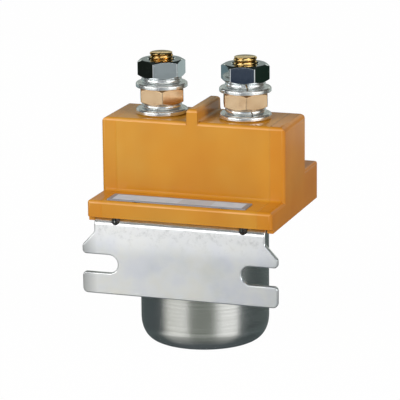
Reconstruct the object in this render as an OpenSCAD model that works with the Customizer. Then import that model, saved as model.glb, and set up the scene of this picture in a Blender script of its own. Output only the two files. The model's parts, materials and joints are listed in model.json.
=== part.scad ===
// Single-pole DC contactor: a moulded contact housing with two power studs, screwed to an
// angled mounting bracket that carries the coil can below it.
// Millimetres. The origin is the centre of the can's flat bottom, +Z runs up along the studs,
// and the bracket's mounting face looks towards -Y.

/* [Housing] */
// Width of the housing, along X
housing_w = 73.5; // [71:0.5:80]
// Depth of the housing over the ledge and the step, along Y
housing_d = 61.5; // [58:0.5:66]
// Depth of the tall block that holds the contacts
block_d = 27.8; // [26:0.2:32]
// Height of the block above the bracket plate
block_h = 35.4; // [33.5:0.1:40]
// Height of the front ledge above the bracket plate
ledge_h = 6.6; // [6.2:0.1:8]
// Height of the rear step above the bracket plate
step_h = 13.1; // [12:0.5:18]
// Radius along the long edges
edge_r = 1.4; // [0.6:0.1:2]
// Radius along the top edges at the two sides
shoulder_r = 2.4; // [1:0.1:3.5]
// Radius of the hollow corners at the foot of the block and of the barrier
fillet_r = 1; // [0.5:0.1:1.6]
// Thickness of the outer side, front and rear walls
side_wall = 3.8; // [3.4:0.1:4.6]
// Thickness of the block's front and rear walls
block_wall = 2.6; // [2:0.1:3.4]
// Thickness of the roof that the studs pass through
roof_t = 4; // [3:0.1:5]
// Thickness of the ledge's and the step's top
shelf_t = 2.6; // [2:0.1:3]
// How far the skirt hangs below the top of the bracket plate
skirt_drop = 1.8; // [1:0.1:1.9]
// Thickness of the skirt
skirt_t = 2.5; // [2:0.1:2.8]
// How far the skirt starts behind the front face
skirt_start = 2; // [1:0.1:3]
// Thickness of the barrier between the studs
barrier_w = 4.4; // [3:0.1:6]
// Height of the barrier above the block
barrier_h = 5; // [4:0.1:12]
// Height of the raised seat under each stud's base washer
seat_h = 0.3; // [0.2:0.1:1.5]
// Thickness of the guides beside the bridge
guide_w = 1.8; // [1.2:0.1:2.4]

/* [Bracket] */
// Thickness of the bracket sheet
plate_t = 2; // [1.6:0.1:2.5]
// Outer radius of the bend
bend_r = 3; // [2.8:0.1:3.4]
// Width of the plate and of the neck below the bend
neck_w = 68; // [66:0.5:68]
// Width over the two ears
ear_w = 78; // [76:0.5:86]
// Depth at which the neck starts to widen
neck_drop = 5.8; // [4:0.2:7]
// Depth at which the ears reach their full width
flare_drop = 11.2; // [9:0.2:12]
// Depth of the upper edge of the side slots
slot_drop = 14.6; // [13:0.2:16]
// Height of the side slots
slot_h = 7.1; // [6:0.1:8]
// Distance between the centres of the slots' round ends
slot_span = 56.5; // [50:0.5:62]
// Depth of the bracket's bottom edge
bracket_drop = 30.1; // [27:0.1:36]
// Radius of the ears' corners
ear_r = 2; // [1:0.1:2.5]
// Radius at the slots' open ends
slot_lip_r = 1.6; // [0.8:0.1:2]
// Distance between the two notches in the bend
notch_span = 50.8; // [46:0.2:54]
// Width of the notches
notch_w = 3.4; // [3.2:0.1:4.4]
// Depth of the notches below the top of the plate
notch_h = 2.6; // [2.2:0.1:2.8]

/* [Can] */
// Outer radius of the can
can_r = 25; // [24.4:0.1:26]
// Height of the can up to the bracket plate
can_h = 50.5; // [46:0.5:60]
// Thickness of the can's sheet
can_wall = 2; // [1.5:0.1:2.4]
// Outer radius of the can's bottom corner
can_corner_r = 5.5; // [4:0.1:6]
// Width of the lugs that hold the can to the plate
lug_w = 8; // [6:0.2:10]
// Height of the staked lug ends above the plate
lug_stake_h = 0.5; // [0.3:0.1:0.6]

/* [Power terminals] */
// Radius of the studs
stud_r = 5; // [4:0.1:5]
// Distance between the two studs
stud_span = 33.8; // [32:0.2:38]
// Length of stud above the top nut
stud_tail = 2.7; // [2:0.1:12]
// How far the free end lies inside the stud's full radius, where the thread starts
stud_lead_in = 0.5; // [0.2:0.05:0.8]
// Chamfer at the stud's end
stud_chamfer = 0.6; // [0.4:0.1:1]
// Width of the square stud head inside the housing
head_w = 15; // [13:0.2:16]
// Thickness of the stud head
head_t = 3.5; // [3:0.1:4]
// Radius of the flat washers
washer_r = 10; // [9.5:0.1:11]
// Thickness of the flat washers
washer_t = 1.8; // [1.5:0.1:2.5]
// Radius of the split lock washers
lock_r = 7.8; // [7.4:0.1:8.2]
// Thickness of the split lock washers
lock_t = 2.2; // [1.8:0.1:2.8]
// Width of the gap in the lock washers
lock_gap = 0.7; // [0.4:0.1:1.2]
// Width across flats of the nuts
nut_af = 16.4; // [16:0.1:17]
// How far the nuts' round end faces lie inside their flats
nut_face_inset = 0.3; // [0.1:0.05:0.5]
// Height of the lower, copper-coloured nuts
lower_nut_h = 6.1; // [5:0.1:7]
// Height of the upper, zinc-plated nuts
upper_nut_h = 6.7; // [5:0.1:8.5]

/* [Contacts] */
// Radius of the round contact tips
tip_r = 4.8; // [3.5:0.1:5.5]
// Thickness of the contact tips
tip_t = 1.2; // [0.8:0.1:1.6]
// Travel of the bridge until the tips meet
contact_travel = 2.6; // [2:0.1:2.8]
// Travel of the plunger until it meets the core
plunger_travel = 3.2; // [3:0.1:3.4]
// Width of the bridge
bridge_w = 12; // [11:0.2:13]
// Thickness of the bridge
bridge_t = 2.5; // [2:0.1:3]
// How far the bridge runs past its contact tips
bridge_rim = 1.2; // [0.8:0.1:2]
// Length of the contact spring at rest
contact_spring_l = 9.9; // [9:0.1:10.5]
// Radius of the insulating washers and of the spring seat
insulator_r = 6; // [5.8:0.1:6.6]
// Thickness of the insulating washers
insulator_t = 1.5; // [1.2:0.1:1.8]
// Wall of the insulating bush inside the bridge
bush_wall = 1.1; // [0.8:0.1:1.4]
// Thickness of the spring seat
spring_seat_t = 1; // [0.8:0.1:1.4]

/* [Plunger and core] */
// Radius of the plunger and the core
plunger_r = 8; // [7.6:0.1:8.4]
// Length of the fixed core below the plate
core_l = 16; // [14:0.5:18]
// Radius of the core's spigot in the plate
spigot_r = 6.9; // [6:0.1:7.2]
// Radius of the core's staked head above the plate
core_head_r = 8.4; // [8:0.1:9]
// Height of the core's staked head
core_head_h = 1.5; // [1:0.1:2]
// Radius of the push rod inside the core and the plunger
rod_r = 2.5; // [2.2:0.1:2.8]
// Radius of the push rod's thinner top
rod_tip_r = 2; // [1.8:0.1:2.1]
// Depth of the rod's hole below the spring pocket
rod_grip = 9; // [6:0.5:12]
// Radius of the spring pocket in the plunger
pocket_r = 5.4; // [5.2:0.1:5.8]
// Depth of the spring pocket
pocket_h = 9; // [8:0.1:10]
// Thickness of the rubber pad under the plunger
pad_t = 1.8; // [1:0.1:2.5]
// Thickness of the retaining clip
clip_t = 0.6; // [0.5:0.1:0.8]
// Radius of the retaining clip
clip_r = 4.4; // [4:0.1:5]
// Depth of the clip's groove in the rod
groove_depth = 0.4; // [0.3:0.05:0.6]
// Length of rod above the retaining clip
rod_tail = 1.4; // [1:0.1:1.5]

/* [Springs] */
// Mean radius of the return spring
return_spring_r = 4.4; // [4:0.1:4.5]
// Wire radius of the return spring
return_wire_r = 0.5; // [0.4:0.05:0.55]
// Turns of the return spring
return_turns = 5.5; // [4.5:0.5:6]
// Mean radius of the contact spring
contact_spring_r = 4.6; // [4:0.1:4.8]
// Wire radius of the contact spring
contact_wire_r = 0.55; // [0.4:0.05:0.6]
// Turns of the contact spring
contact_turns = 4; // [3.5:0.5:4.5]

/* [Coil] */
// Wall of the guide sleeve
sleeve_t = 0.5; // [0.4:0.05:0.7]
// Wall of the bobbin's tube
bobbin_t = 1.2; // [1:0.1:1.6]
// Thickness of the bobbin's flanges
flange_t = 1.6; // [1.2:0.1:2]
// Gap between the bobbin's flanges and the can
flange_gap = 0.6; // [0.5:0.05:0.8]
// Radius of the winding
winding_r = 21.5; // [21.2:0.1:21.6]
// Thickness of the tape round the winding
tape_t = 0.3; // [0.2:0.05:0.4]
// Thickness of the rubber cushion under the bobbin
cushion_t = 2; // [1.8:0.1:3]
// Radius of the coil leads
lead_r = 0.65; // [0.5:0.05:0.75]
// Radius of the coil leads' bends
lead_bend = 1.5; // [1.2:0.1:1.6]
// Distance of the leads' holes inside the edge of the bobbin's flanges
lead_inset = 3.7; // [3:0.1:4]
// Straight end of each lead below its insert
lead_end = 1; // [0.8:0.1:1.2]
// Wall of the leads' insulating bushes
lead_bush_wall = 0.9; // [0.7:0.1:1]

/* [Coil terminals] */
// Distance between the two coil terminals
coil_span = 18; // [17:0.2:19]
// Radius of the threaded inserts
insert_r = 3.4; // [3:0.1:3.6]
// Length of the threaded inserts
insert_l = 7; // [6:0.5:8]
// Radius of the terminal washers
cup_r = 4.1; // [3.8:0.1:4.2]
// Thickness of the terminal washers
cup_t = 0.8; // [0.6:0.1:1]
// Length of the terminal screws below the washer
coil_screw_l = 6; // [4:0.5:7]

/* [Housing screws] */
// Radius of the screws
screw_r = 2; // [1.6:0.1:2.1]
// Radius of the screw heads
screw_head_r = 3.3; // [3:0.1:3.4]
// Height of the screw heads
screw_head_h = 2.4; // [2:0.1:2.6]
// Distance between the screws, along X
screw_span = 34.8; // [34:0.2:36]
// Distance of the front screws behind the front face
screw_inset = 5; // [4.8:0.1:5.4]
// Height of the screws' seats above the plate
screw_seat_h = 3.4; // [3:0.1:3.6]
// Length of screw below the plate
screw_tail = 1.5; // [0.5:0.1:3]
// Wall of the housing round each screw's recess
boss_wall = 1; // [0.8:0.1:1.1]
// Radius of the two locating studs
locating_r = 1.5; // [1.2:0.1:1.5]
// Distance of the locating studs behind the front face
locating_inset = 3.6; // [3.6:0.05:3.9]
// Depth of the locating studs' ends below the top of the plate
locating_drop = 3.3; // [2.5:0.1:4]
// Chamfer at the locating studs' ends
locating_chamfer = 0.4; // [0.2:0.1:0.6]

/* [Nameplate] */
// Length of the nameplate
nameplate_w = 55.3; // [40:0.1:58]
// Width of the nameplate
nameplate_d = 9.2; // [7:0.1:9.4]
// Thickness of the nameplate
nameplate_t = 0.4; // [0.3:0.05:0.6]
// How far the nameplate's middle lies left of the housing's
nameplate_shift = 1.75; // [0:0.05:3]
// Distance of the nameplate behind the ledge's front face
nameplate_inset = 1.8; // [1.6:0.1:2.4]
// Radius of the nameplate's corners
nameplate_r = 0.6; // [0.4:0.05:1]
// Thickness of the insulating sheet on the bracket plate
sheet_t = 0.8; // [0.5:0.1:1]

/* [Clearances] */
// Radial clearance of pieces that slide in one another
slide_gap = 0.05; // [0.02:0.01:0.1]
// Radial clearance of threads, pressed and staked pieces
fit_gap = 0.05; // [0.02:0.01:0.1]
// Gap that is left at each end stop of the motion
stop_gap = 0.05; // [0.02:0.01:0.1]
// Clearance round pieces that are only dropped in
loose_gap = 0.3; // [0.2:0.05:0.4]

/* [Hidden] */
$fn = 64;
// Overlap of cutting shapes past the faces that they cut
over = 0.5;

// Heights
plate_z = can_h;
deck_z = plate_z + plate_t;
sheet_z = deck_z + sheet_t;
block_top = deck_z + block_h;
base_washer_z = block_top + seat_h;
base_lock_z = base_washer_z + washer_t;
lower_nut_z = base_lock_z + lock_t;
top_washer_z = lower_nut_z + lower_nut_h;
top_lock_z = top_washer_z + washer_t;
upper_nut_z = top_lock_z + lock_t;
stud_top = upper_nut_z + upper_nut_h + stud_tail;
roof_z = block_top - roof_t;
head_z = roof_z - head_t;
fixed_tip_z = head_z - tip_t;
moving_tip_z = fixed_tip_z - contact_travel - stop_gap - tip_t;
bridge_z = moving_tip_z - bridge_t;
bush_z = bridge_z - insulator_t;
spring_seat_top = bush_z - contact_spring_l;
spring_seat_z = spring_seat_top - spring_seat_t;
clip_z = moving_tip_z + insulator_t;
core_z = plate_z - core_l;
plunger_top = core_z - plunger_travel - stop_gap;
plunger_z = can_wall + pad_t;
pocket_z = plunger_top - pocket_h;
rod_z = pocket_z - rod_grip;
rod_top = clip_z + clip_t + rod_tail;
bobbin_z = can_wall + cushion_t;
winding_z = bobbin_z + flange_t;
winding_top = plate_z - flange_t;
screw_seat_z = deck_z + screw_seat_h;
screw_end = plate_z - screw_tail;
insert_z = deck_z + step_h - insert_l;
cup_z = deck_z + step_h;
lead_turn_z = insert_z - lead_bend - lead_end;

// Places
front_y = -housing_d / 2;
step_y = (block_d / 2 + housing_d / 2) / 2;
stud_x = stud_span / 2;
stud_end_r = stud_r - stud_lead_in;
screw_x = screw_span / 2;
coil_x = coil_span / 2;
front_screw_y = front_y + screw_inset;
rear_screw_y = step_y;
locating_y = front_y + locating_inset;
notch_x = notch_span / 2;
plate_rear_y = housing_d / 2 - skirt_t - loose_gap;
inner_x = housing_w / 2 - side_wall;
inner_y = housing_d / 2 - side_wall;
chamber_y = block_d / 2 - block_wall;
sleeve_r = plunger_r + slide_gap;
bobbin_bore_r = sleeve_r + sleeve_t + fit_gap;
bobbin_r = bobbin_bore_r + bobbin_t;
can_inner_r = can_r - can_wall;
flange_r = can_inner_r - flange_gap;
lead_y = sqrt(pow(flange_r - lead_inset, 2) - pow(coil_x, 2));
lead_offset = step_y - lead_y;
bridge_x = stud_x + tip_r + bridge_rim;
bush_r = rod_tip_r + slide_gap + bush_wall;
boss_r = screw_head_r + loose_gap + boss_wall;
groove_r = rod_tip_r - groove_depth;
lead_bush_bore = lead_r + fit_gap;
lead_bush_r = lead_bush_bore + lead_bush_wall;
screw_places = [for (y = [front_screw_y, rear_screw_y]) for (x = [-screw_x, screw_x]) [x, y]];

// Directions of the hexagons' corners and of the lock washers' gaps, seen from above
lower_nut_turn = 291;
left_nut_turn = 330;
right_nut_turn = 309.5;
hidden_gap_turn = 75;
top_gap_turn = 292;
base_gap_turn = 306;
// Slant of the lock washers' gaps
lock_slant = 20;

housing_c = "#CF9137";
zinc_c = "#C5C9CB";
steel_c = "#9AA0A3";
brass_c = "#D8B24A";
copper_c = "#D6A07A";
silver_c = "#E6E6E2";
nylon_c = "#EFEBDD";
rubber_c = "#3A3A3C";

// The sliver outside a round corner at (x, y), where sx and sy point out of the outline
module round_off(x, y, sx, sy, r) {
    translate([x - sx * r, y - sy * r]) difference() {
        translate([min(0, sx * (r + over)), min(0, sy * (r + over))]) square(r + over);
        circle(r);
    }
}

// A block with a flat bottom: edge_r on the long top edges and upright corners, side_r on the
// top edges at the two sides
module moulded_block(w, y0, y1, z0, z1, side_r) {
    intersection() {
        translate([-w / 2, 0, 0]) rotate([90, 0, 90]) linear_extrude(w) difference() {
            translate([y0, z0]) square([y1 - y0, z1 - z0]);
            round_off(y0, z1, -1, 1, edge_r);
            round_off(y1, z1, 1, 1, edge_r);
        }
        translate([0, y1, 0]) rotate([90, 0, 0]) linear_extrude(y1 - y0) difference() {
            translate([-w / 2, z0]) square([w, z1 - z0]);
            round_off(-w / 2, z1, -1, 1, side_r);
            round_off(w / 2, z1, 1, 1, side_r);
        }
        translate([0, 0, z0]) linear_extrude(z1 - z0) difference() {
            translate([-w / 2, y0]) square([w, y1 - y0]);
            for (sx = [-1, 1]) {
                round_off(sx * w / 2, y0, sx, -1, edge_r);
                round_off(sx * w / 2, y1, sx, 1, edge_r);
            }
        }
    }
}

// Box between two corners
module box(low, high) {
    translate(low) cube(high - low);
}

// Upright cylinder from z0 to z1 at (x, y)
module post(x, y, r, z0, z1) {
    translate([x, y, z0]) cylinder(r = r, h = z1 - z0);
}

// Upright tube or washer
module ring(r_in, r_out, z0, z1) {
    translate([0, 0, z0]) difference() {
        cylinder(r = r_out, h = z1 - z0);
        translate([0, 0, -over]) cylinder(r = r_in, h = z1 - z0 + 2 * over);
    }
}

// Four lugs' worth of a ring, each w wide, along the X and Y axes
module lug_ring(r_in, r_out, w, z0, z1) {
    intersection() {
        ring(r_in, r_out, z0, z1);
        union() {
            box([-can_r - over, -w / 2, z0], [can_r + over, w / 2, z1]);
            box([-w / 2, -can_r - over, z0], [w / 2, can_r + over, z1]);
        }
    }
}

module housing() {
    color(housing_c) difference() {
        union() {
            difference() {
                housing_outside();
                housing_hollows();
            }
            housing_ribs();
        }
        housing_holes();
    }
}

module housing_outside() {
    moulded_block(housing_w, front_y, -front_y, deck_z - skirt_drop, deck_z + ledge_h, edge_r);
    moulded_block(housing_w, 0, -front_y, deck_z, deck_z + step_h, edge_r);
    moulded_block(housing_w, -block_d / 2, block_d / 2, deck_z, block_top, shoulder_r);
    barrier();
    for (x = [-stud_x, stud_x]) post(x, 0, washer_r - seat_h, block_top - over, base_washer_z);
    foot_w = housing_w - 2 * edge_r;
    foot_d = block_d - 2 * edge_r;
    translate([0, -block_d / 2, deck_z + ledge_h]) rotate([90, 0, -90]) hollow_corner(foot_w);
    translate([0, block_d / 2, deck_z + step_h]) rotate([90, 0, 90]) hollow_corner(foot_w);
    translate([barrier_w / 2, 0, block_top]) rotate([90, 0, 0]) hollow_corner(foot_d);
    translate([-barrier_w / 2, 0, block_top]) rotate([90, 0, 180]) hollow_corner(foot_d);
}

// Bar that fills the corner between two faces, along local X and Y, with a hollow round
module hollow_corner(length) {
    linear_extrude(length, center = true) difference() {
        translate([-over, -over]) square(fillet_r + over);
        translate([fillet_r, fillet_r]) circle(fillet_r);
    }
}

// Barrier between the studs, with round top edges
module barrier() {
    half = barrier_w / 2;
    intersection() {
        translate([0, block_d / 2, 0]) rotate([90, 0, 0]) linear_extrude(block_d) difference() {
            translate([-half, block_top - shoulder_r]) square([barrier_w, barrier_h + shoulder_r]);
            for (sx = [-1, 1]) round_off(sx * half, block_top + barrier_h, sx, 1, edge_r);
        }
        translate([-half, 0, 0]) rotate([90, 0, 90]) linear_extrude(barrier_w) difference() {
            translate([-block_d / 2, block_top - shoulder_r]) square([block_d, barrier_h + shoulder_r]);
            for (sy = [-1, 1]) round_off(sy * block_d / 2, block_top + barrier_h, sy, 1, edge_r);
        }
    }
}

// Contact chamber, the hollows under the ledge and the step, and the bed of the bracket plate
module housing_hollows() {
    low = deck_z - skirt_drop - over;
    box([-inner_x, -chamber_y, low], [inner_x, chamber_y, roof_z]);
    box([-inner_x, -inner_y, low], [inner_x, 0, deck_z + ledge_h - shelf_t]);
    box([-inner_x, 0, low], [inner_x, inner_y, deck_z + step_h - shelf_t]);
    bed_x = neck_w / 2 + loose_gap;
    box([-bed_x, front_y - over, low], [bed_x, plate_rear_y + loose_gap, deck_z]);
    box([-housing_w, front_y - over, low], [housing_w, front_y + skirt_start, deck_z]);
}

// Screw and insert bosses, rails beside the stud heads and guides beside the bridge
module housing_ribs() {
    for (p = screw_places) {
        top = p[1] < 0 ? ledge_h : step_h;
        post(p[0], p[1], boss_r, sheet_z, deck_z + top - shelf_t + over);
    }
    for (x = [-coil_x, coil_x]) post(x, step_y, insert_r + boss_wall, insert_z, cup_z - over);
    for (x = [-notch_x, notch_x]) intersection() {
        post(x, locating_y, locating_r + boss_wall, sheet_z, deck_z + ledge_h - over);
        box([-inner_x - over, front_y + over, sheet_z], [inner_x + over, 0, deck_z + ledge_h]);
    }
    rail_x = stud_x + head_w / 2;
    rail_y = head_w / 2 + loose_gap;
    guide_x = insulator_r + 2 * guide_w;
    guide_y = bridge_w / 2 + loose_gap;
    for (side = [-1, 1]) {
        wall_rib(side, -rail_x, rail_x, rail_y, head_z, roof_z + over);
        wall_rib(side, -guide_x, guide_w - guide_x, guide_y, bush_z, head_z - loose_gap);
        wall_rib(side, guide_x - guide_w, guide_x, guide_y, bush_z, head_z - loose_gap);
    }
}

// Rib from x0 to x1 on the chamber's front wall (side = -1) or rear wall (side = 1), whose edge
// lies y from the middle
module wall_rib(side, x0, x1, y, z0, z1) {
    depth = chamber_y + over - y;
    translate([x0, side > 0 ? y : -y - depth, z0]) cube([x1 - x0, depth, z1 - z0]);
}

// Holes for the studs, the screws, the inserts and the locating studs
module housing_holes() {
    for (x = [-stud_x, stud_x]) post(x, 0, stud_r + fit_gap, roof_z - over, base_washer_z + over);
    for (p = screw_places) {
        post(p[0], p[1], screw_r + fit_gap, deck_z - over, block_top);
        post(p[0], p[1], screw_head_r + loose_gap, screw_seat_z, block_top);
    }
    for (x = [-coil_x, coil_x]) post(x, step_y, insert_r + fit_gap, insert_z - over, cup_z + over);
    for (x = [-notch_x, notch_x]) {
        post(x, locating_y, locating_r + fit_gap, deck_z - over, deck_z + screw_seat_h);
    }
}

module nameplate() {
    y0 = front_y + nameplate_inset;
    x0 = -nameplate_shift - nameplate_w / 2;
    color(silver_c) translate([0, 0, deck_z + ledge_h]) linear_extrude(nameplate_t) difference() {
        translate([x0, y0]) square([nameplate_w, nameplate_d]);
        for (sy = [0, 1]) {
            round_off(x0, y0 + sy * nameplate_d, -1, 2 * sy - 1, nameplate_r);
            round_off(x0 + nameplate_w, y0 + sy * nameplate_d, 1, 2 * sy - 1, nameplate_r);
        }
    }
}

module bracket() {
    color(zinc_c) difference() {
        intersection() {
            bracket_section();
            union() {
                bracket_plan();
                bracket_front();
            }
        }
        bracket_holes();
    }
}

// The bent sheet as wide as its ears: a plate, a bend and a front wing
module bracket_section() {
    translate([-ear_w / 2, 0, 0]) rotate([90, 0, 90]) linear_extrude(ear_w) difference() {
        union() {
            translate([front_y, plate_z]) square([plate_rear_y - front_y, plate_t]);
            translate([front_y, deck_z - bracket_drop]) square([plate_t, bracket_drop]);
            translate([front_y, deck_z - bend_r]) square(bend_r);
        }
        round_off(front_y, deck_z, -1, 1, bend_r);
        translate([front_y + bend_r, deck_z - bend_r]) circle(bend_r - plate_t);
    }
}

// Outline of the plate, seen from above
module bracket_plan() {
    translate([0, 0, plate_z]) linear_extrude(plate_t) difference() {
        translate([-neck_w / 2, front_y]) square([neck_w, plate_rear_y - front_y]);
        for (sx = [-1, 1]) round_off(sx * neck_w / 2, plate_rear_y, sx, 1, ear_r);
    }
}

// Outline of the wing, seen from the front: a neck that widens into two slotted ears
module bracket_front() {
    translate([0, front_y + bend_r, deck_z]) rotate([90, 0, 0]) linear_extrude(bend_r) difference() {
        polygon([[-neck_w / 2, 0], [-neck_w / 2, -neck_drop], [-ear_w / 2, -flare_drop],
            [-ear_w / 2, -bracket_drop], [ear_w / 2, -bracket_drop], [ear_w / 2, -flare_drop],
            [neck_w / 2, -neck_drop], [neck_w / 2, 0]]);
        for (sx = [-1, 1]) {
            side_slot(sx);
            round_off(sx * ear_w / 2, -bracket_drop, sx, -1, ear_r);
            round_off(sx * ear_w / 2, -slot_drop, sx, -1, slot_lip_r);
            round_off(sx * ear_w / 2, -slot_drop - slot_h, sx, 1, slot_lip_r);
        }
    }
}

// Slot that is open at the ear's side and has a round inner end
module side_slot(sx) {
    translate([sx * slot_span / 2, -slot_drop - slot_h / 2]) {
        circle(d = slot_h);
        translate([sx > 0 ? 0 : -ear_w, -slot_h / 2]) square([ear_w, slot_h]);
    }
}

module bracket_holes() {
    low = plate_z - over;
    high = deck_z + over;
    post(0, 0, spigot_r + fit_gap, low, high);
    for (p = screw_places) post(p[0], p[1], screw_r + fit_gap, low, high);
    for (x = [-coil_x, coil_x]) post(x, lead_y, lead_bush_r + fit_gap, low, high);
    lug_ring(can_inner_r - fit_gap, can_r + fit_gap, lug_w + 2 * fit_gap, low, high);
    for (x = [-notch_x, notch_x]) bend_notch(x);
}

// Notch through the bend: round below, seen from the front, and round at its inner end, seen from above
module bend_notch(x) {
    half = notch_w / 2;
    low = deck_z - notch_h;
    post(x, locating_y, half, low, deck_z + over);
    translate([x, locating_y, low + half]) rotate([90, 0, 0]) cylinder(r = half, h = housing_d);
    box([x - half, front_y - over, low + half], [x + half, locating_y, deck_z + over]);
}

module can() {
    color(steel_c) {
        rotate_extrude() difference() {
            square([can_r, can_h]);
            round_off(can_r, 0, 1, -1, can_corner_r);
            difference() {
                translate([0, can_wall]) square([can_inner_r, can_h]);
                round_off(can_inner_r, can_wall, 1, -1, can_corner_r - can_wall);
            }
        }
        lug_ring(can_inner_r, can_r, lug_w, can_h, deck_z + lug_stake_h);
    }
}

module insulating_sheet() {
    color(nylon_c) difference() {
        half_w = inner_x - loose_gap;
        half_d = inner_y - loose_gap;
        low = deck_z - over;
        high = sheet_z + over;
        box([-half_w, -half_d, deck_z], [half_w, half_d, sheet_z]);
        post(0, 0, core_head_r + loose_gap, low, high);
        for (p = screw_places) post(p[0], p[1], screw_r + loose_gap, low, high);
        for (x = [-coil_x, coil_x]) post(x, lead_y, lead_bush_r + loose_gap, low, high);
        for (x = [-notch_x, notch_x]) post(x, locating_y, locating_r + 2 * boss_wall, low, high);
        lug_ring(can_inner_r - loose_gap, can_r + loose_gap, lug_w + 2 * loose_gap, low, high);
    }
}

module locating_studs() {
    color(steel_c) for (x = [-notch_x, notch_x]) {
        translate([x, locating_y, deck_z - locating_drop]) {
            cylinder(r1 = locating_r - locating_chamfer, r2 = locating_r, h = locating_chamfer);
            translate([0, 0, locating_chamfer]) {
                cylinder(r = locating_r, h = locating_drop + screw_seat_h - locating_chamfer - fit_gap);
            }
        }
    }
}

// Screw with a cross recess, its head's underside at z and its end at z_end
module pan_screw(x, y, z, z_end) {
    rim_h = 0.6 * screw_head_h;
    crown_r = 0.7 * screw_head_r;
    recess_l = 1.1 * screw_head_r;
    recess_w = 0.4 * screw_r;
    recess_z = 0.45 * screw_head_h;
    translate([x, y, z]) difference() {
        union() {
            cylinder(r = screw_head_r, h = rim_h);
            translate([0, 0, rim_h]) cylinder(r1 = screw_head_r, r2 = crown_r, h = screw_head_h - rim_h);
            translate([0, 0, z_end - z]) cylinder(r = screw_r, h = z - z_end);
        }
        for (turn = [0, 90]) rotate(turn) {
            translate([-recess_l / 2, -recess_w / 2, recess_z]) cube([recess_l, recess_w, screw_head_h]);
        }
    }
}

module housing_screws() {
    color(zinc_c) for (p = screw_places) pan_screw(p[0], p[1], screw_seat_z, screw_end);
}

// Terminal stud with a square head below the roof
module stud(x) {
    color(brass_c) translate([x, 0, 0]) {
        translate([0, 0, head_z]) linear_extrude(head_t) difference() {
            square(head_w, center = true);
            for (sx = [-1, 1]) for (sy = [-1, 1]) {
                round_off(sx * head_w / 2, sy * head_w / 2, sx, sy, edge_r);
            }
        }
        post(0, 0, stud_r, roof_z, stud_top - stud_tail);
        post(0, 0, stud_end_r, stud_top - stud_tail, stud_top - stud_chamfer);
        translate([0, 0, stud_top - stud_chamfer]) {
            cylinder(r1 = stud_end_r, r2 = stud_end_r - stud_chamfer, h = stud_chamfer);
        }
    }
}

// Round contact tip on the stud's axis
module contact_tip(x, z) {
    color(silver_c) post(x, 0, tip_r, z, z + tip_t);
}

module flat_washer(x, z) {
    color(zinc_c) translate([x, 0, 0]) ring(stud_r + loose_gap, washer_r, z, z + washer_t);
}

// Split lock washer, cut through at the given direction with a slanted gap
module lock_washer(x, z, turn) {
    color(zinc_c) translate([x, 0, z]) difference() {
        ring(stud_r + loose_gap / 2, lock_r, 0, lock_t);
        rotate(turn) translate([0, 0, lock_t / 2]) rotate([lock_slant, 0, 0]) {
            translate([0, -lock_gap / 2, -lock_t]) cube([lock_r + over, lock_gap, 2 * lock_t]);
        }
    }
}

// Hexagon nut with chamfered ends and a corner at the given direction
module hex_nut(x, z, h, turn) {
    corner = nut_af / 2 / cos(30);
    face = nut_af / 2 - nut_face_inset;
    wide = corner + over;
    rise = (wide - face) * tan(30);
    translate([x, 0, z]) difference() {
        intersection() {
            rotate(turn) cylinder(r = corner, h = h, $fn = 6);
            rotate_extrude() {
                polygon([[0, 0], [face, 0], [wide, rise], [wide, h - rise], [face, h], [0, h]]);
            }
        }
        translate([0, 0, -over]) cylinder(r = stud_r + fit_gap, h = h + 2 * over);
    }
}

module lower_nut(x) {
    color(copper_c) hex_nut(x, lower_nut_z, lower_nut_h, lower_nut_turn);
}

module upper_nut(x, turn) {
    color(zinc_c) hex_nut(x, upper_nut_z, upper_nut_h, turn);
}

module coil_inserts() {
    color(brass_c) for (x = [-coil_x, coil_x]) difference() {
        post(x, step_y, insert_r, insert_z, cup_z);
        post(x, step_y, screw_r + fit_gap, cup_z - coil_screw_l - over, cup_z + over);
    }
}

module coil_washers() {
    color(zinc_c) for (x = [-coil_x, coil_x]) translate([x, step_y, 0]) {
        ring(screw_r + loose_gap / 2, cup_r, cup_z, cup_z + cup_t);
    }
}

module coil_screws() {
    color(zinc_c) for (x = [-coil_x, coil_x]) pan_screw(x, step_y, cup_z + cup_t, cup_z - coil_screw_l);
}

// Quarter bend of a lead that starts upright and turns towards +Y
module lead_elbow() {
    rotate([90, 0, 90]) translate([lead_bend, 0, 0]) rotate([0, 0, 90]) {
        rotate_extrude(angle = 90) translate([lead_bend, 0]) circle(lead_r, $fn = 32);
    }
}

// Each lead rises through the plate, steps back and ends under its insert
module coil_leads() {
    run = lead_offset - 2 * lead_bend;
    color(copper_c) for (x = [-coil_x, coil_x]) translate([x, lead_y, 0]) {
        post(0, 0, lead_r, winding_top, lead_turn_z - lead_bend);
        translate([0, 0, lead_turn_z - lead_bend]) lead_elbow();
        translate([0, lead_bend, lead_turn_z]) rotate([-90, 0, 0]) cylinder(r = lead_r, h = run);
        translate([0, lead_offset, lead_turn_z + lead_bend]) rotate([180, 0, 0]) lead_elbow();
        post(0, lead_offset, lead_r, lead_turn_z + lead_bend, insert_z);
    }
}

module lead_bushes() {
    color(nylon_c) for (x = [-coil_x, coil_x]) translate([x, lead_y, 0]) difference() {
        union() {
            post(0, 0, lead_bush_r, plate_z, sheet_z + sheet_t);
            post(0, 0, lead_bush_r + lead_bush_wall, sheet_z, sheet_z + sheet_t);
        }
        post(0, 0, lead_bush_bore, plate_z - over, sheet_z + sheet_t + over);
    }
}

module bobbin() {
    color(nylon_c) difference() {
        union() {
            ring(bobbin_bore_r, bobbin_r, bobbin_z, plate_z);
            ring(bobbin_bore_r, flange_r, bobbin_z, winding_z);
            ring(bobbin_bore_r, flange_r, winding_top, plate_z);
        }
        for (x = [-coil_x, coil_x]) post(x, lead_y, lead_bush_bore, winding_top - over, plate_z + over);
    }
}

module winding() {
    color(copper_c) ring(bobbin_r, winding_r, winding_z, winding_top);
}

module winding_tape() {
    color(nylon_c) ring(winding_r, winding_r + tape_t, winding_z, winding_top);
}

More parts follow.
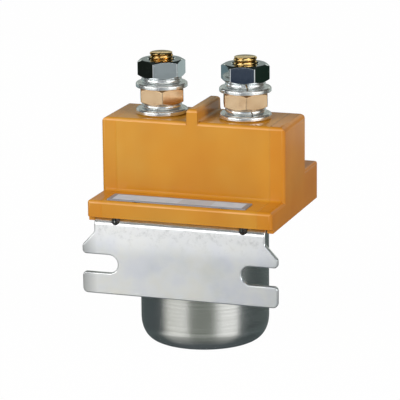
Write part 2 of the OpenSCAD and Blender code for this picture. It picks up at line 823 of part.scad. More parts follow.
module coil_cushion() {
    flat_r = can_inner_r - (can_corner_r - can_wall) - slide_gap;
    color(rubber_c) ring(bobbin_bore_r + loose_gap, flat_r, can_wall, bobbin_z);
}

module guide_sleeve() {
    color(brass_c) ring(sleeve_r, sleeve_r + sleeve_t, can_wall, plate_z);
}

module fixed_core() {
    color(steel_c) difference() {
        union() {
            post(0, 0, plunger_r, core_z, plate_z);
            post(0, 0, spigot_r, plate_z, deck_z);
            post(0, 0, core_head_r, deck_z, deck_z + core_head_h);
        }
        post(0, 0, rod_r + slide_gap, core_z - over, deck_z + core_head_h + over);
    }
}

module plunger_pad() {
    color(rubber_c) post(0, 0, plunger_r - loose_gap, can_wall, plunger_z);
}

module plunger() {
    color(steel_c) difference() {
        post(0, 0, plunger_r, plunger_z, plunger_top);
        post(0, 0, pocket_r, pocket_z, plunger_top + over);
        post(0, 0, rod_r + fit_gap, rod_z, pocket_z + over);
    }
}

module push_rod() {
    color(silver_c) difference() {
        union() {
            post(0, 0, rod_r, rod_z, spring_seat_z);
            post(0, 0, rod_tip_r, spring_seat_z, rod_top);
        }
        ring(groove_r, rod_r + over, clip_z, clip_z + clip_t);
    }
}

// Open retaining clip in the rod's groove
module rod_clip() {
    color(steel_c) difference() {
        ring(groove_r + fit_gap, clip_r, clip_z, clip_z + clip_t);
        box([0, -groove_r, clip_z - over], [clip_r + over, groove_r, clip_z + clip_t + over]);
    }
}

// Rise of a compression spring's centre line, from 0 to 1, with half a flat turn at each end
function spring_rise(t, turns) = max(0, min(1, (t - 0.5) / (turns - 1)));

// Compression spring between z0 and z1: a round wire swept along a helix
module spring(r, wire_r, turns, z0, z1) {
    sides = 8;
    steps = round(turns * 16);
    low = z0 + wire_r + stop_gap / 2;
    rise = z1 - z0 - 2 * wire_r - stop_gap;
    points = [for (i = [0:steps]) for (k = [0:sides - 1])
        let (a = i * 360 * turns / steps, b = k * 360 / sides, s = r + wire_r * cos(b))
        [s * cos(a), s * sin(a), low + rise * spring_rise(turns * i / steps, turns) + wire_r * sin(b)]];
    walls = [for (i = [0:steps - 1]) for (k = [0:sides - 1])
        let (n = (k + 1) % sides)
        [i * sides + k, i * sides + n, (i + 1) * sides + n, (i + 1) * sides + k]];
    start_cap = [[for (k = [0:sides - 1]) sides - 1 - k]];
    end_cap = [[for (k = [0:sides - 1]) steps * sides + k]];
    color(steel_c) polyhedron(points, concat(walls, start_cap, end_cap));
}

module return_spring() {
    spring(return_spring_r, return_wire_r, return_turns, pocket_z, core_z);
}

module contact_spring() {
    spring(contact_spring_r, contact_wire_r, contact_turns, spring_seat_top, bush_z);
}

module spring_seat() {
    color(zinc_c) ring(rod_tip_r + slide_gap, insulator_r, spring_seat_z, spring_seat_top);
}

// Copper bar with round ends that closes the circuit between the two studs
module bridge() {
    color(copper_c) difference() {
        translate([0, 0, bridge_z]) linear_extrude(bridge_t) {
            half_l = bridge_x - bridge_w / 2;
            square([2 * half_l, bridge_w], center = true);
            for (x = [-half_l, half_l]) translate([x, 0]) circle(d = bridge_w);
        }
        post(0, 0, bush_r + fit_gap, bridge_z - over, moving_tip_z + over);
    }
}

// Flanged insulating bush that carries the bridge on the rod
module bridge_bush() {
    color(nylon_c) {
        ring(rod_tip_r + slide_gap, insulator_r, bush_z, bridge_z);
        ring(rod_tip_r + slide_gap, bush_r, bridge_z, moving_tip_z);
    }
}

module bridge_washer() {
    color(nylon_c) ring(rod_tip_r + slide_gap, insulator_r, moving_tip_z, clip_z);
}

housing();
nameplate();
bracket();
can();
insulating_sheet();
locating_studs();
housing_screws();
stud(-stud_x);  // stud_left
stud(stud_x);  // stud_right
contact_tip(-stud_x, fixed_tip_z);  // fixed_contact_left
contact_tip(stud_x, fixed_tip_z);  // fixed_contact_right
flat_washer(-stud_x, base_washer_z);  // base_washer_left
flat_washer(stud_x, base_washer_z);  // base_washer_right
lock_washer(-stud_x, base_lock_z, hidden_gap_turn);  // base_lock_washer_left
lock_washer(stud_x, base_lock_z, base_gap_turn);  // base_lock_washer_right
lower_nut(-stud_x);  // lower_nut_left
lower_nut(stud_x);  // lower_nut_right
flat_washer(-stud_x, top_washer_z);  // top_washer_left
flat_washer(stud_x, top_washer_z);  // top_washer_right
lock_washer(-stud_x, top_lock_z, hidden_gap_turn);  // top_lock_washer_left
lock_washer(stud_x, top_lock_z, top_gap_turn);  // top_lock_washer_right
upper_nut(-stud_x, left_nut_turn);  // upper_nut_left
upper_nut(stud_x, right_nut_turn);  // upper_nut_right
coil_inserts();
coil_washers();
coil_screws();
coil_leads();
lead_bushes();
bobbin();
winding();
winding_tape();
coil_cushion();
guide_sleeve();
fixed_core();
plunger_pad();
plunger();
push_rod();
return_spring();
contact_spring();
spring_seat();
rod_clip();
bridge();
contact_tip(-stud_x, moving_tip_z);  // moving_contact_left
contact_tip(stud_x, moving_tip_z);  // moving_contact_right
bridge_bush();
bridge_washer();
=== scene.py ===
# %% [markdown]
# # A DC contactor, dressed for its photograph
# A contactor is a big relay: a coil in the steel can pulls a plunger up, and the plunger
# presses a copper bridge against two brass studs. The exact solids come in as a fixed frame.
# Here every visible piece gets its real surface, and some get a finer shape.

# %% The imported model
import json

import bmesh
import bpy
import numpy as np
from mathutils import Matrix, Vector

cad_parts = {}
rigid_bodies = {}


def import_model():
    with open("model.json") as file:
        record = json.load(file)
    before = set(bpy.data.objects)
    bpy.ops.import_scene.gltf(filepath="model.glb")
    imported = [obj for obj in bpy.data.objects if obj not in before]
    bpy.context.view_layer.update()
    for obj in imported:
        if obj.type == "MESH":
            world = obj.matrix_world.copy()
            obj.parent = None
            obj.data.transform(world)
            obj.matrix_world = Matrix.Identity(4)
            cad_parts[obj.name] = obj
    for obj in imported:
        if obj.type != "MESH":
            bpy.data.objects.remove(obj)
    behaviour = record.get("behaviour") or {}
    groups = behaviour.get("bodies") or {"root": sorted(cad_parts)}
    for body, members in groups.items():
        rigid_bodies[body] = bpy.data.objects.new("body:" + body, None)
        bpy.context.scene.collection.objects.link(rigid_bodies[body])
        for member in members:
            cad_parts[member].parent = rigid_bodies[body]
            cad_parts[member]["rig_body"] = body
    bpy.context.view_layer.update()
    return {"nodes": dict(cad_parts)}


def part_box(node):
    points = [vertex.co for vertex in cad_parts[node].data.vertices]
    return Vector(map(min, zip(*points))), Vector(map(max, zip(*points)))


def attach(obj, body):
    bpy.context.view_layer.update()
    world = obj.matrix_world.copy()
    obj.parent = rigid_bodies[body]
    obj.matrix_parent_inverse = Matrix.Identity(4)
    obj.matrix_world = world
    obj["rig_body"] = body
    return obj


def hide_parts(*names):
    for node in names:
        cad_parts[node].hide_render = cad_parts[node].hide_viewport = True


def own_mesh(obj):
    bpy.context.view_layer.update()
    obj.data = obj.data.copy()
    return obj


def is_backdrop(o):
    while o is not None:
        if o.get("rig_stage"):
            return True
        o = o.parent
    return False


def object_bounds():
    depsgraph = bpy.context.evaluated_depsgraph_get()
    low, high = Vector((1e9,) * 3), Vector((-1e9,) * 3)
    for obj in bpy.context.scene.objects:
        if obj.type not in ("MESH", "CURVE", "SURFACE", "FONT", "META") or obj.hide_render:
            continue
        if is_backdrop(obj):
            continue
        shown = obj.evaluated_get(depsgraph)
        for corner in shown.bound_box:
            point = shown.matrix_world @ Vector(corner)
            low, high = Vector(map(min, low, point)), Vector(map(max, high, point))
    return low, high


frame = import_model()
nodes = frame["nodes"]
MM = 0.001


def box_mm(node):
    """A CAD node's lowest and highest corner in millimetres."""
    low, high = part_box(node)
    return np.array(low) / MM, np.array(high) / MM


def axis_x(node):
    """Where a CAD node's upright axis stands from left to right, in millimetres."""
    low, high = box_mm(node)
    return (low[0] + high[0]) / 2


STUD_X = axis_x("stud_right")
print("the studs stand", round(STUD_X, 2), "mm to each side of the middle")

# %% [markdown]
# ## Camera
# A camera can be turned with Euler angles or a constraint. Writing its three axes as the
# columns of one matrix is exact, and keeps the small roll that the photograph has.

# %% Camera
def from_angles(azimuth, elevation):
    """Unit vector at an azimuth, counted from +X towards +Y, and an elevation, in degrees."""
    a, e = np.radians([azimuth, elevation])
    return np.array([np.cos(a) * np.cos(e), np.sin(a) * np.cos(e), np.sin(e)])


def placed(position, x_axis, y_axis, z_axis):
    """4x4 matrix whose columns are three axes and a position in metres."""
    grid = np.eye(4)
    grid[:3, 0], grid[:3, 1], grid[:3, 2], grid[:3, 3] = x_axis, y_axis, z_axis, position
    return Matrix(grid.tolist())


CAMERA_AZIMUTH, CAMERA_ELEVATION, CAMERA_ROLL = 288.89, 14.09, np.radians(-0.54)
CAMERA_DISTANCE = 0.97255
aim = np.array([-1.785, 0.038, 54.11]) * MM
back = from_angles(CAMERA_AZIMUTH, CAMERA_ELEVATION)
right = from_angles(CAMERA_AZIMUTH + 90, 0)
up = np.cross(back, right)
camera_x = np.cos(CAMERA_ROLL) * right + np.sin(CAMERA_ROLL) * up
camera_y = np.cos(CAMERA_ROLL) * up - np.sin(CAMERA_ROLL) * right
camera_data = bpy.data.cameras.new("camera")
camera_data.sensor_width = 36
camera_data.lens = 226.03
camera_data.clip_start, camera_data.clip_end = 0.05, 30
camera = bpy.data.objects.new("camera", camera_data)
camera.matrix_world = placed(aim + back * CAMERA_DISTANCE, camera_x, camera_y, back)
bpy.context.scene.collection.objects.link(camera)
bpy.context.scene.camera = camera
bpy.context.scene.view_settings.view_transform = "Standard"
print("camera at", [round(v, 3) for v in camera.matrix_world.translation], "m")

# %% [markdown]
# ## Colours, nodes and materials
# Blender's shaders work in linear light, but colours are easiest to read off as sRGB hex.
# One function turns hex to linear, one adds a node, and one starts a Principled material. The
# node trees could be drawn by hand in the editor. In code they can be read from top to bottom.
# Inputs that aren't named keep Blender's own values, such as detail 2 for noise.

# %% Helpers for materials
def linear(hex_colour):
    """sRGB hex to linear RGBA: below 0.04045 a straight line, above it a power of 2.4."""
    c = np.array([int(hex_colour[i:i + 2], 16) for i in (1, 3, 5)]) / 255
    c = np.where(c <= 0.04045, c / 12.92, ((c + 0.055) / 1.055) ** 2.4)
    return (*c.tolist(), 1.0)


def fill(node, inputs):
    """Gives a node's inputs values, or links other nodes' sockets to them."""
    for name, value in inputs.items():
        if isinstance(value, bpy.types.NodeSocket):
            node.id_data.links.new(value, node.inputs[name])
        else:
            node.inputs[name].default_value = value


def add(tree, kind, inputs=None, out=0, **settings):
    """Adds a node, sets its properties, fills its inputs and returns the socket of one output.
    A colour ramp takes its stops as (position, hex colour) pairs."""
    made = tree.nodes.new("ShaderNode" + kind)
    for name, value in settings.items():
        if name == "stops":
            band = made.color_ramp.elements
            band.remove(band[1])
            band[0].position, band[0].color = value[0][0], linear(value[0][1])
            for position, hex_colour in value[1:]:
                band.new(position).color = linear(hex_colour)
        else:
            setattr(made, name, value)
    fill(made, inputs or {})
    return made.outputs[out] if made.outputs else None


def per_metre(*sizes):
    """Pattern scales for features of these sizes in millimetres: coordinates count metres."""
    scales = [1000 / size for size in sizes]
    return scales[0] if len(scales) == 1 else tuple(scales)


finishes = {}


def new_finish(slot, title, inputs):
    """Starts the material for one slot, named for the real finish: its node tree, its shader
    and the object's coordinates."""
    finish = bpy.data.materials.new(title)
    finish.use_nodes = True
    tree = finish.node_tree
    shader = tree.nodes["Principled BSDF"]
    fill(shader, inputs)
    finishes[slot] = finish
    return tree, shader, add(tree, "TexCoord", out="Object")


def bare_tree(owner):
    """The node tree of a material or a world, emptied."""
    owner.use_nodes = True
    owner.node_tree.nodes.clear()
    return owner.node_tree


# A Mix node for colours takes its share at input 0 and its two colours at inputs 6 and 7, and
# gives the result at output 2. MIX moves from the first to the second, TINT multiplies them.
MIX = {"out": 2, "data_type": "RGBA"}
TINT = {**MIX, "blend_type": "MULTIPLY"}
WHITE = linear("#ffffff")
print("hex #808080 in linear light:", round(linear("#808080")[0], 3))

# %% [markdown]
# ## Meshes from grids
# Most new shapes here are a grid of points, bent into a ring or a tube. Blender can spin or
# extrude an outline step by step. A grid worked out as one array is faster, and its faces
# follow from the numbers of its rows and columns alone.

# %% Helpers for meshes
def grid_faces(rows, columns, wrap_rows=False, wrap_columns=False):
    """Four-cornered faces over a grid of points, where point (r, c) has the number
    r * columns + c. A wrapped direction joins its last points to its first ones."""
    r = np.arange(rows if wrap_rows else rows - 1)[:, None]
    c = np.arange(columns if wrap_columns else columns - 1)[None, :]
    r1, c1 = (r + 1) % rows, (c + 1) % columns
    corners = (r * columns + c, r * columns + c1, r1 * columns + c1, r1 * columns + c)
    return np.stack(np.broadcast_arrays(*corners), -1).reshape(-1, 4)


def closed_tube(rows, columns):
    """Faces of a tube whose rows run round it, with a lid on its first and on its last row."""
    first = np.arange(columns)
    return [*grid_faces(rows, columns, False, True), first[::-1], first + (rows - 1) * columns]


def closed_sweep(rows, columns):
    """Faces of a section that is carried along a path, one column a step, with closed ends."""
    first = np.arange(rows) * columns
    return [*grid_faces(rows, columns, True), first, first[::-1] + columns - 1]


def new_object(name, points, faces, finish):
    """An object whose mesh has these points, in metres, and these faces."""
    mesh = bpy.data.meshes.new(name)
    mesh.from_pydata(np.reshape(points, (-1, 3)).tolist(), [], [list(f) for f in faces])
    mesh.materials.append(finish)
    made = bpy.data.objects.new(name, mesh)
    bpy.context.scene.collection.objects.link(made)
    return made


print("a closed tube of 3 by 4 points has", len(closed_tube(3, 4)), "faces")

# %% [markdown]
# ## Studio
# The object stands on a white table in front of white paper. The floor and the world show
# plain white to the camera and to mirrors. A small part of the floor stays diffuse, so that
# it takes a soft shadow, and the room's own light is kept low.

# %% Floor and world
PLAIN_SHARE = 0.985
ROOM_LEVEL = 0.26
TABLE_REACH = 3.0


def seen_directly(tree):
    """1 for rays from the camera, from a mirror or through glass, 0 for diffuse light."""
    rays = add(tree, "LightPath").node.outputs
    seen = rays["Is Camera Ray"]
    for name in ("Is Glossy Ray", "Is Transmission Ray"):
        seen = add(tree, "Math", {0: seen, 1: rays[name]}, operation="MAXIMUM")
    return seen


paper = bpy.data.materials.new("white_paper")
tree = bare_tree(paper)
share = add(tree, "Math", {0: seen_directly(tree), 1: PLAIN_SHARE}, operation="MULTIPLY")
diffuse = add(tree, "BsdfDiffuse", {"Color": linear("#fafafa")})
glow = add(tree, "Emission", {"Color": WHITE, "Strength": 1.0})
mixed = add(tree, "MixShader", {0: share, 1: diffuse, 2: glow})
add(tree, "OutputMaterial", {"Surface": mixed})
table = np.array([[-1, -1, 0], [1, -1, 0], [1, 1, 0], [-1, 1, 0]]) * TABLE_REACH
floor = new_object("floor", table, [(0, 1, 2, 3)], paper)
floor.visible_glossy = False
floor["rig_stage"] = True

world = bpy.data.worlds.new("white_room")
bpy.context.scene.world = world
tree = bare_tree(world)
room = add(tree, "Background", {"Color": WHITE, "Strength": ROOM_LEVEL})
paper_light = add(tree, "Background", {"Color": WHITE, "Strength": 1.0})
mixed = add(tree, "MixShader", {0: seen_directly(tree), 1: room, 2: paper_light})
add(tree, "OutputWorld", {"Surface": mixed})
print("white room, diffuse level:", ROOM_LEVEL)

# %% [markdown]
# A softbox is a large area lamp. Two of them light the front and the right side. They only give
# diffuse light: what the bare metal mirrors is drawn further down.

# %% Softboxes
LAMP_TARGET = np.array([0, 0, 0.06])


def softbox(name, azimuth, elevation, distance, width, height, watts, colour="#ffffff"):
    """A rectangular lamp that faces the middle of the object from a direction."""
    data = bpy.data.lights.new(name, "AREA")
    data.shape, data.size, data.size_y, data.energy = "RECTANGLE", width, height, watts
    data.color = linear(colour)[:3]
    lamp = bpy.data.objects.new(name, data)
    out = from_angles(azimuth, elevation)
    side = from_angles(azimuth + 90, 0)
    lamp.matrix_world = placed(LAMP_TARGET + out * distance, side, np.cross(out, side), out)
    lamp.visible_glossy = False
    bpy.context.scene.collection.objects.link(lamp)
    print(name, "gives", watts, "W from", azimuth, "degrees")


softbox("softbox_front_left", 242, 27, distance=3.0, width=1.8, height=1.4, watts=57.5)
softbox("softbox_right", 337, 27, 3.0, width=1.6, height=1.4, watts=47.0, colour="#ffe6cc")

# %% [markdown]
# ## What the metal mirrors
# Bare metal shows little but its surroundings, so a photographer hangs black and white cards
# round it. Real cards could be modelled one by one. Here they are painted on a shell round the
# table that only glossy rays see, so they shape the reflections and light nothing. Each zone
# is a level ring of the shell, with the colours that stand round it by azimuth in degrees.

# %% Table of the cards
# A zone fades in between two heights, given as the sine of the elevation, and hides what is
# below it. Then come its brightness and its colours: bright panels with dark gaps beside them.
# A colour stands at one azimuth or reaches from one to another, and neighbours blend.
UNDER_THE_TABLE = "#50565a"
ZONES = [
    ("under the sheet", -0.95, -0.68, 1.0, [
        (0, "#545a5c"), (20, 190, "#4a5254"), (216, 248, "#9a9c9a"), (266, 302, "#747874"),
        (322, 344, "#9a9c9a"), (360, "#545a5c")]),
    ("front of the sheet", -0.57, -0.52, 1.3, [
        (0, "#5c6264"), (20, 190, "#4a5254"), (216, 248, "#ececea"), (266, 302, "#9ca09c"),
        (322, 344, "#ececea"), (360, "#5c6264")]),
    ("table", -0.48, -0.43, 0.9, [
        (0, "#545c5e"), (10, "#4c5456"), (60, "#5a6262"), (100, "#666e6e"), (150, "#50585a"),
        (204, "#444c50"), (221, "#e6e6e2"), (253, "#ececea"), (263, 300, "#82867f"),
        (318, 345, "#ffffff"), (354, "#545c5e")]),
    ("edge of the table", -0.178, -0.166, 1.0, [
        (0, 10, "#4c5456"), (60, "#565e5e"), (100, "#606868"), (150, "#464c4e"), (204, "#3c4448"),
        (221, "#b4b4b0"), (253, "#b4b4b2"), (263, "#5e625e"), (300, "#6e726e"),
        (318, 345, "#f0f0f0"), (354, "#4c5456")]),
    ("behind the washers", -0.13, -0.122, 1.0, [
        (0, "#e8e8e4"), (8, "#b4b8b8"), (15, "#303634"), (24, 44, "#1c2a22"), (56, "#666e6c"),
        (100, "#626c6a"), (165, "#5c6c6c"), (178, 206, "#2a302c"), (216, "#dadad6"),
        (258, "#dadcde"), (268, "#9a9e9e"), (300, "#a0a4a2"), (318, "#c8ccca"),
        (326, 354, "#ecece8"), (360, "#e8e8e4")]),
    ("behind the upper nuts", -0.099, -0.095, 1.0, [
        (0, "#e8e8e4"), (8, "#b4b8b8"), (15, "#303634"), (24, 44, "#1c2a22"), (56, "#aab6b4"),
        (100, "#a2aeac"), (140, 165, "#687e82"), (178, 206, "#1a1e1a"), (216, "#dadad6"),
        (258, "#dadcde"), (266, "#2c3648"), (284, "#323c48"), (300, "#8c9494"), (318, "#989e9e"),
        (326, 354, "#ecece8"), (360, "#e8e8e4")]),
    ("softboxes", -0.05, 0.06, 2.3, [
        (0, 4, "#bcbcb8"), (16, 50, "#141916"), (62, 160, "#606866"), (172, 196, "#141916"),
        (208, "#b8b8b6"), (262, "#b8b8b8"), (274, "#7c8288"), (310, "#80868c"), (326, "#c4c4c2"),
        (360, "#bcbcb8")]),
    ("lamps", 0.14, 0.18, 4.5, [
        (0, "#a8aaa6"), (16, 50, "#0a0d0b"), (62, 160, "#444846"), (172, 200, "#0a0d0b"),
        (216, 254, "#ffffff"), (274, 306, "#646a70"), (324, 348, "#ffffff"), (360, "#a8aaa6")]),
    ("ceiling over the front", 0.33, 0.4, 4.5, [
        (50, "#0c0e0d"), (62, 160, "#4a4e4a"), (172, "#0c0e0d")]),
    ("above the stud ends", 0.388, 0.398, 4.5, [
        (50, "#0c0e0d"), (62, 160, "#787c76"), (172, "#0c0e0d")]),
    ("ceiling", 0.46, 0.52, 1.0, [(0, "#262c2a")]),
    ("overhead", 0.72, 0.78, 2.6, [
        (196, "#161a18"), (204, 232, "#e0e0dc"), (240, 264, "#161a18"), (274, 350, "#e0e0dc"),
        (360, "#161a18")]),
    ("zenith", 0.88, 0.92, 1.0, [(0, "#262c2a")])]
print("zones of cards:", len(ZONES))

# %% [markdown]
# The shader reads the azimuth and the height of a point on the shell. A colour ramp gives each
# zone its colours, and Mix nodes lay the zones over one another from the table to the zenith.

# %% Cards for the reflections
cards = bpy.data.materials.new("reflection_cards")
cards.cycles.emission_sampling = "NONE"
tree = bare_tree(cards)
place = add(tree, "TexCoord", out="Object")
axes = add(tree, "SeparateXYZ", {0: place}).node.outputs
turn = add(tree, "Math", {0: axes["Y"], 1: axes["X"]}, operation="ARCTAN2")
turn = add(tree, "Math", {0: turn, 1: 2 * np.pi, 2: 0.0}, operation="WRAP")
turn = add(tree, "MapRange", {"Value": turn, "From Max": 2 * np.pi})
height = add(tree, "VectorMath", {0: place}, operation="NORMALIZE")
height = add(tree, "SeparateXYZ", {0: height}, out="Z")
colour, strength = linear(UNDER_THE_TABLE), 1.0
for title, start, end, power, stops in ZONES:
    stops = [(azimuth / 360, hex_colour) for *ends, hex_colour in stops for azimuth in ends]
    band = add(tree, "ValToRGB", {"Fac": turn}, stops=stops)
    lift = add(tree, "MapRange", {"Value": height, "From Min": start, "From Max": end})
    colour = add(tree, "Mix", {0: lift, 6: colour, 7: band}, **MIX)
    strength = add(tree, "Mix", {0: lift, 2: strength, 3: power})
    print("cards:", title)
glow = add(tree, "Emission", {"Color": colour, "Strength": strength})
add(tree, "OutputMaterial", {"Surface": glow})

# %% [markdown]
# The shell itself is a sphere of points at even azimuths and elevations, open by a hair at its
# two poles and closed there by a small lid. Its visibility flags leave it to glossy rays only.

# %% Shell that carries the cards
SHELL_RADIUS = 0.7
a = np.linspace(0, 2 * np.pi, 48, endpoint=False)[None, :]
e = np.radians(np.linspace(-89, 89, 25))[:, None]
shell = SHELL_RADIUS * np.stack(
    [np.cos(e) * np.cos(a), np.cos(e) * np.sin(a), np.sin(e) + 0 * a], -1)
shell_card = new_object("reflection_shell", shell, closed_tube(25, 48), cards)
for rays in ("camera", "diffuse", "transmission", "volume_scatter", "shadow"):
    setattr(shell_card, "visible_" + rays, False)
shell_card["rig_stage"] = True
print("reflection shell, faces:", len(shell_card.data.polygons))

# %% [markdown]
# ## Housing finish
# The housing is polyester filled with short glass fibres, pressed in a hot mould. It is opaque
# ochre. The glass makes it faintly cloudy, and the flow in the mould leaves long soft streaks.
# An image texture could hold all this, but noise on the object's own coordinates has no seams
# and needs no map.

# %% Moulded glass-filled polyester
# It gives the eye a warm opaque ochre with a soft sheen, neither shiny nor chalky.
tree, shader, place = new_finish(
    "housing_moulding", "moulded_glass_filled_polyester",
    {"Specular IOR Level": 0.27, "Coat Weight": 0.18, "Coat Roughness": 0.1})
# Clouds of glass about 25 mm across, and flow streaks about 17 mm wide and 38 mm long.
cloud = add(tree, "TexNoise", {"Vector": place, "Scale": per_metre(25)})
flow = add(tree, "Mapping", {"Vector": place, "Scale": per_metre(17, 17, 38)})
flow = add(tree, "TexNoise", {"Vector": flow, "Scale": 1.0})
ochre_colours = [(0.3, "#c98a28"), (0.5, "#ca8f2d"), (0.7, "#c99538")]
ochre = add(tree, "ValToRGB", {"Fac": cloud}, stops=ochre_colours)
streaks = add(tree, "ValToRGB", {"Fac": flow}, stops=[(0.35, "#f6efe2"), (0.65, "#ffffff")])
colour = add(tree, "Mix", {0: 1.0, 6: ochre, 7: streaks}, **TINT)
# The end walls are a little yellower than the middle, and the ledge's front a little greyer.
axes = add(tree, "SeparateXYZ", {0: place}).node.outputs
across = add(tree, "Math", {0: axes["X"]}, operation="ABSOLUTE")
ends = add(tree, "MapRange", {"Value": across, "From Min": 30.6 * MM, "From Max": 31.2 * MM})
colour = add(tree, "Mix", {0: ends, 6: colour, 7: linear("#fff6e4")}, **TINT)
front = {"Value": axes["Y"], "From Min": -30.1 * MM, "From Max": -30.7 * MM}
front = add(tree, "MapRange", front)
colour = add(tree, "Mix", {0: front, 6: colour, 7: linear("#f4f2f0")}, **TINT)
print("finish:", finishes["housing_moulding"].name)

# %% [markdown]
# The long rounded edges get a painted highlight: a paler colour that stands in for the light they
# catch, stronger in some places than in others. The edges could be painted by hand. The surface's
# own direction finds them as well: on the rounds it leans up and forwards, or up and backwards,
# and nowhere else.

# %% Painted highlights on the rounded edges of the moulding
normal = add(tree, "TexCoord", out="Normal")
normal = add(tree, "SeparateXYZ", {0: normal}).node.outputs
rounds = [(0.05, "#000000"), (0.16, "#ffffff"), (0.45, "#ffffff"), (0.7, "#000000")]
rounds = add(tree, "ValToRGB", {"Fac": normal["Z"]}, stops=rounds)
long_edges = add(tree, "Math", {0: normal["Y"]}, operation="ABSOLUTE")
rounds = add(tree, "Math", {0: rounds, 1: long_edges}, operation="MULTIPLY")
painted_edge_highlight = {"Value": cloud, "From Min": 0.35, "From Max": 0.6, "To Min": 0.35, "To Max": 0.85}
painted_edge_highlight = add(tree, "MapRange", painted_edge_highlight)
painted_edge_highlight = add(tree, "Math", {0: painted_edge_highlight, 1: rounds}, operation="MULTIPLY")
# The hollow round at the foot of the block, within 0.95 mm of this height, gets no painted
# highlight.
foot = add(tree, "Math", {0: axes["Z"], 1: 60.1 * MM, 2: 0.95 * MM}, operation="COMPARE")
painted_edge_highlight = add(tree, "Math", {0: painted_edge_highlight, 1: foot}, operation="SUBTRACT", use_clamp=True)
# Painted highlight: the rounds are mixed towards a pale ochre where they would catch the light.
colour = add(tree, "Mix", {0: painted_edge_highlight, 6: colour, 7: linear("#e3ad6c")}, **MIX)
fill(shader, {"Base Color": colour})
print("nodes in the housing's colour:", len(tree.nodes))

# %% [markdown]
# The resin skin has a low satin gloss with a fine grain in it. The outer walls shrink over the
# ribs behind them, which leaves a shallow upright step near each end. So small a step needs no
# mesh: a Bump node bends the light as the step would.

# %% Skin of the moulding
# The skin's grain is really 0.1 mm. It is drawn at 1.1 mm, or it would not show.
grain = add(tree, "TexNoise", {"Vector": place, "Scale": per_metre(1.1)})
gloss = add(tree, "MapRange", {"Value": grain, "To Min": 0.18, "To Max": 0.26})
skin = add(tree, "Bump", {"Height": grain, "Strength": 0.03, "Distance": 0.05 * MM})
# The step of the shrunken wall is 1 mm wide and 0.2 mm deep.
sink = {"Value": across, "From Min": 30.3 * MM, "From Max": 31.3 * MM}
sink = add(tree, "MapRange", sink, interpolation_type="SMOOTHSTEP")
sink = add(tree, "Bump", {"Height": sink, "Normal": skin, "Distance": 0.2 * MM})
fill(shader, {"Roughness": gloss, "Normal": sink})
print("nodes in the housing's finish:", len(tree.nodes))

# %% [markdown]
# ## Metal finishes
# Bare metals are metallic 1: their colour is the colour of their mirror image. Roughness says
# how much that image is smeared. The bracket is cold-rolled sheet, bent and then zinc plated,
# and the plating is a little cloudy.

# %% Zinc-plated sheet steel of the bracket
# It gives the eye a pale, cool, slightly milky grey that mirrors only in soft patches.
tree, shader, place = new_finish(
    "bracket_zinc", "zinc_plated_cold_rolled_steel_sheet", {"Metallic": 1.0})
# Plating clouds 17 mm across, and blue and yellow casts 9 mm across.
cloud = {"Vector": place, "Scale": per_metre(17), "Detail": 4.0, "Roughness": 0.6}
cloud = add(tree, "TexNoise", cloud)
cast = {"Vector": place, "Scale": per_metre(9), "W": 3.0}
cast = add(tree, "TexNoise", cast, noise_dimensions="4D")
zinc_colours = [(0.3, "#e8ebed"), (0.5, "#f0f2f4"), (0.7, "#f4f5f4")]
zinc = add(tree, "ValToRGB", {"Fac": cloud}, stops=zinc_colours)
cast_colours = [(0.35, "#f7f8ff"), (0.5, "#ffffff"), (0.65, "#fffdf6")]
cast = add(tree, "ValToRGB", {"Fac": cast}, stops=cast_colours)
colour = add(tree, "Mix", {0: 0.7, 6: zinc, 7: cast}, **TINT)
gloss = add(tree, "MapRange", {"Value": cloud, "To Min": 0.28, "To Max": 0.34})
fill(shader, {"Roughness": gloss})
print("finish:", finishes["bracket_zinc"].name)

# %% [markdown]
# Where the plating was handled, or the bend stretched it, there are small grey stains. Below the
# bend the sheet gets a painted highlight: a whiter colour for the light the bend catches. Fine
# dents break up what the sheet mirrors, and bending has pulled it in a little below the bend.

# %% Painted highlight, stains, dents and lean of the bracket
# Towards the bend, 40 to 48 mm up, a painted highlight makes the plating whiter. Stains 2.4 mm
# across start there.
axes = add(tree, "SeparateXYZ", {0: place}).node.outputs
near_bend = add(tree, "MapRange", {"Value": axes["Z"], "From Min": 40 * MM, "From Max": 48 * MM})
painted_bend_highlight = add(tree, "Math", {0: near_bend, 1: 0.8}, operation="MULTIPLY")
colour = add(tree, "Mix", {0: painted_bend_highlight, 6: colour, 7: WHITE}, **MIX)
grey_marks = {"Vector": place, "Scale": per_metre(2.4), "Detail": 5.0, "Roughness": 0.7}
grey_marks = add(tree, "TexNoise", grey_marks)
grey_marks = add(tree, "MapRange", {"Value": grey_marks, "From Min": 0.5, "From Max": 0.8, "To Max": 0.6})
grey_marks = add(tree, "Math", {0: grey_marks, 1: near_bend}, operation="MULTIPLY")
# The tips of the left ears are darker.
ends = {"Value": axes["X"], "From Min": -33 * MM, "From Max": -38.5 * MM, "To Max": 0.85}
ends = add(tree, "MapRange", ends)
grey_marks = add(tree, "Math", {0: grey_marks, 1: ends}, operation="MAXIMUM")
colour = add(tree, "Mix", {0: grey_marks, 6: colour, 7: linear("#b0b2b2")}, **MIX)
# The rolled skin's dents, really 0.3 mm wide, are drawn at 2 mm so that they show.
dents = add(tree, "TexNoise", {"Vector": place, "Scale": per_metre(2), "Detail": 3.0})
dents = add(tree, "Bump", {"Height": dents, "Strength": 0.1, "Distance": 0.1 * MM})
# The sheet leans back by 0.4 mm over the 12 mm below the bend.
lean = {"Value": axes["Z"], "From Min": 50 * MM, "From Max": 38 * MM}
lean = add(tree, "MapRange", lean, interpolation_type="SMOOTHSTEP")
lean = add(tree, "Bump", {"Height": lean, "Normal": dents, "Distance": 0.4 * MM})
fill(shader, {"Base Color": colour, "Normal": lean})
print("nodes in the bracket's finish:", len(tree.nodes))

# %% [markdown]
# The can is deep-drawn sheet, spun against a cloth after plating. The cloth leaves level lines
# round the wall, which stretch every reflection upwards and downwards. Anisotropy could do it
# with one number, but lines in the bump and the roughness also show as lines.

# %% Zinc-plated steel of the drawn can
# It gives the eye tall soft bands of light and dark, with hair-thin level lines in them.
tree, shader, place = new_finish("can_zinc", "zinc_plated_deep_drawn_steel", {"Metallic": 1.0})
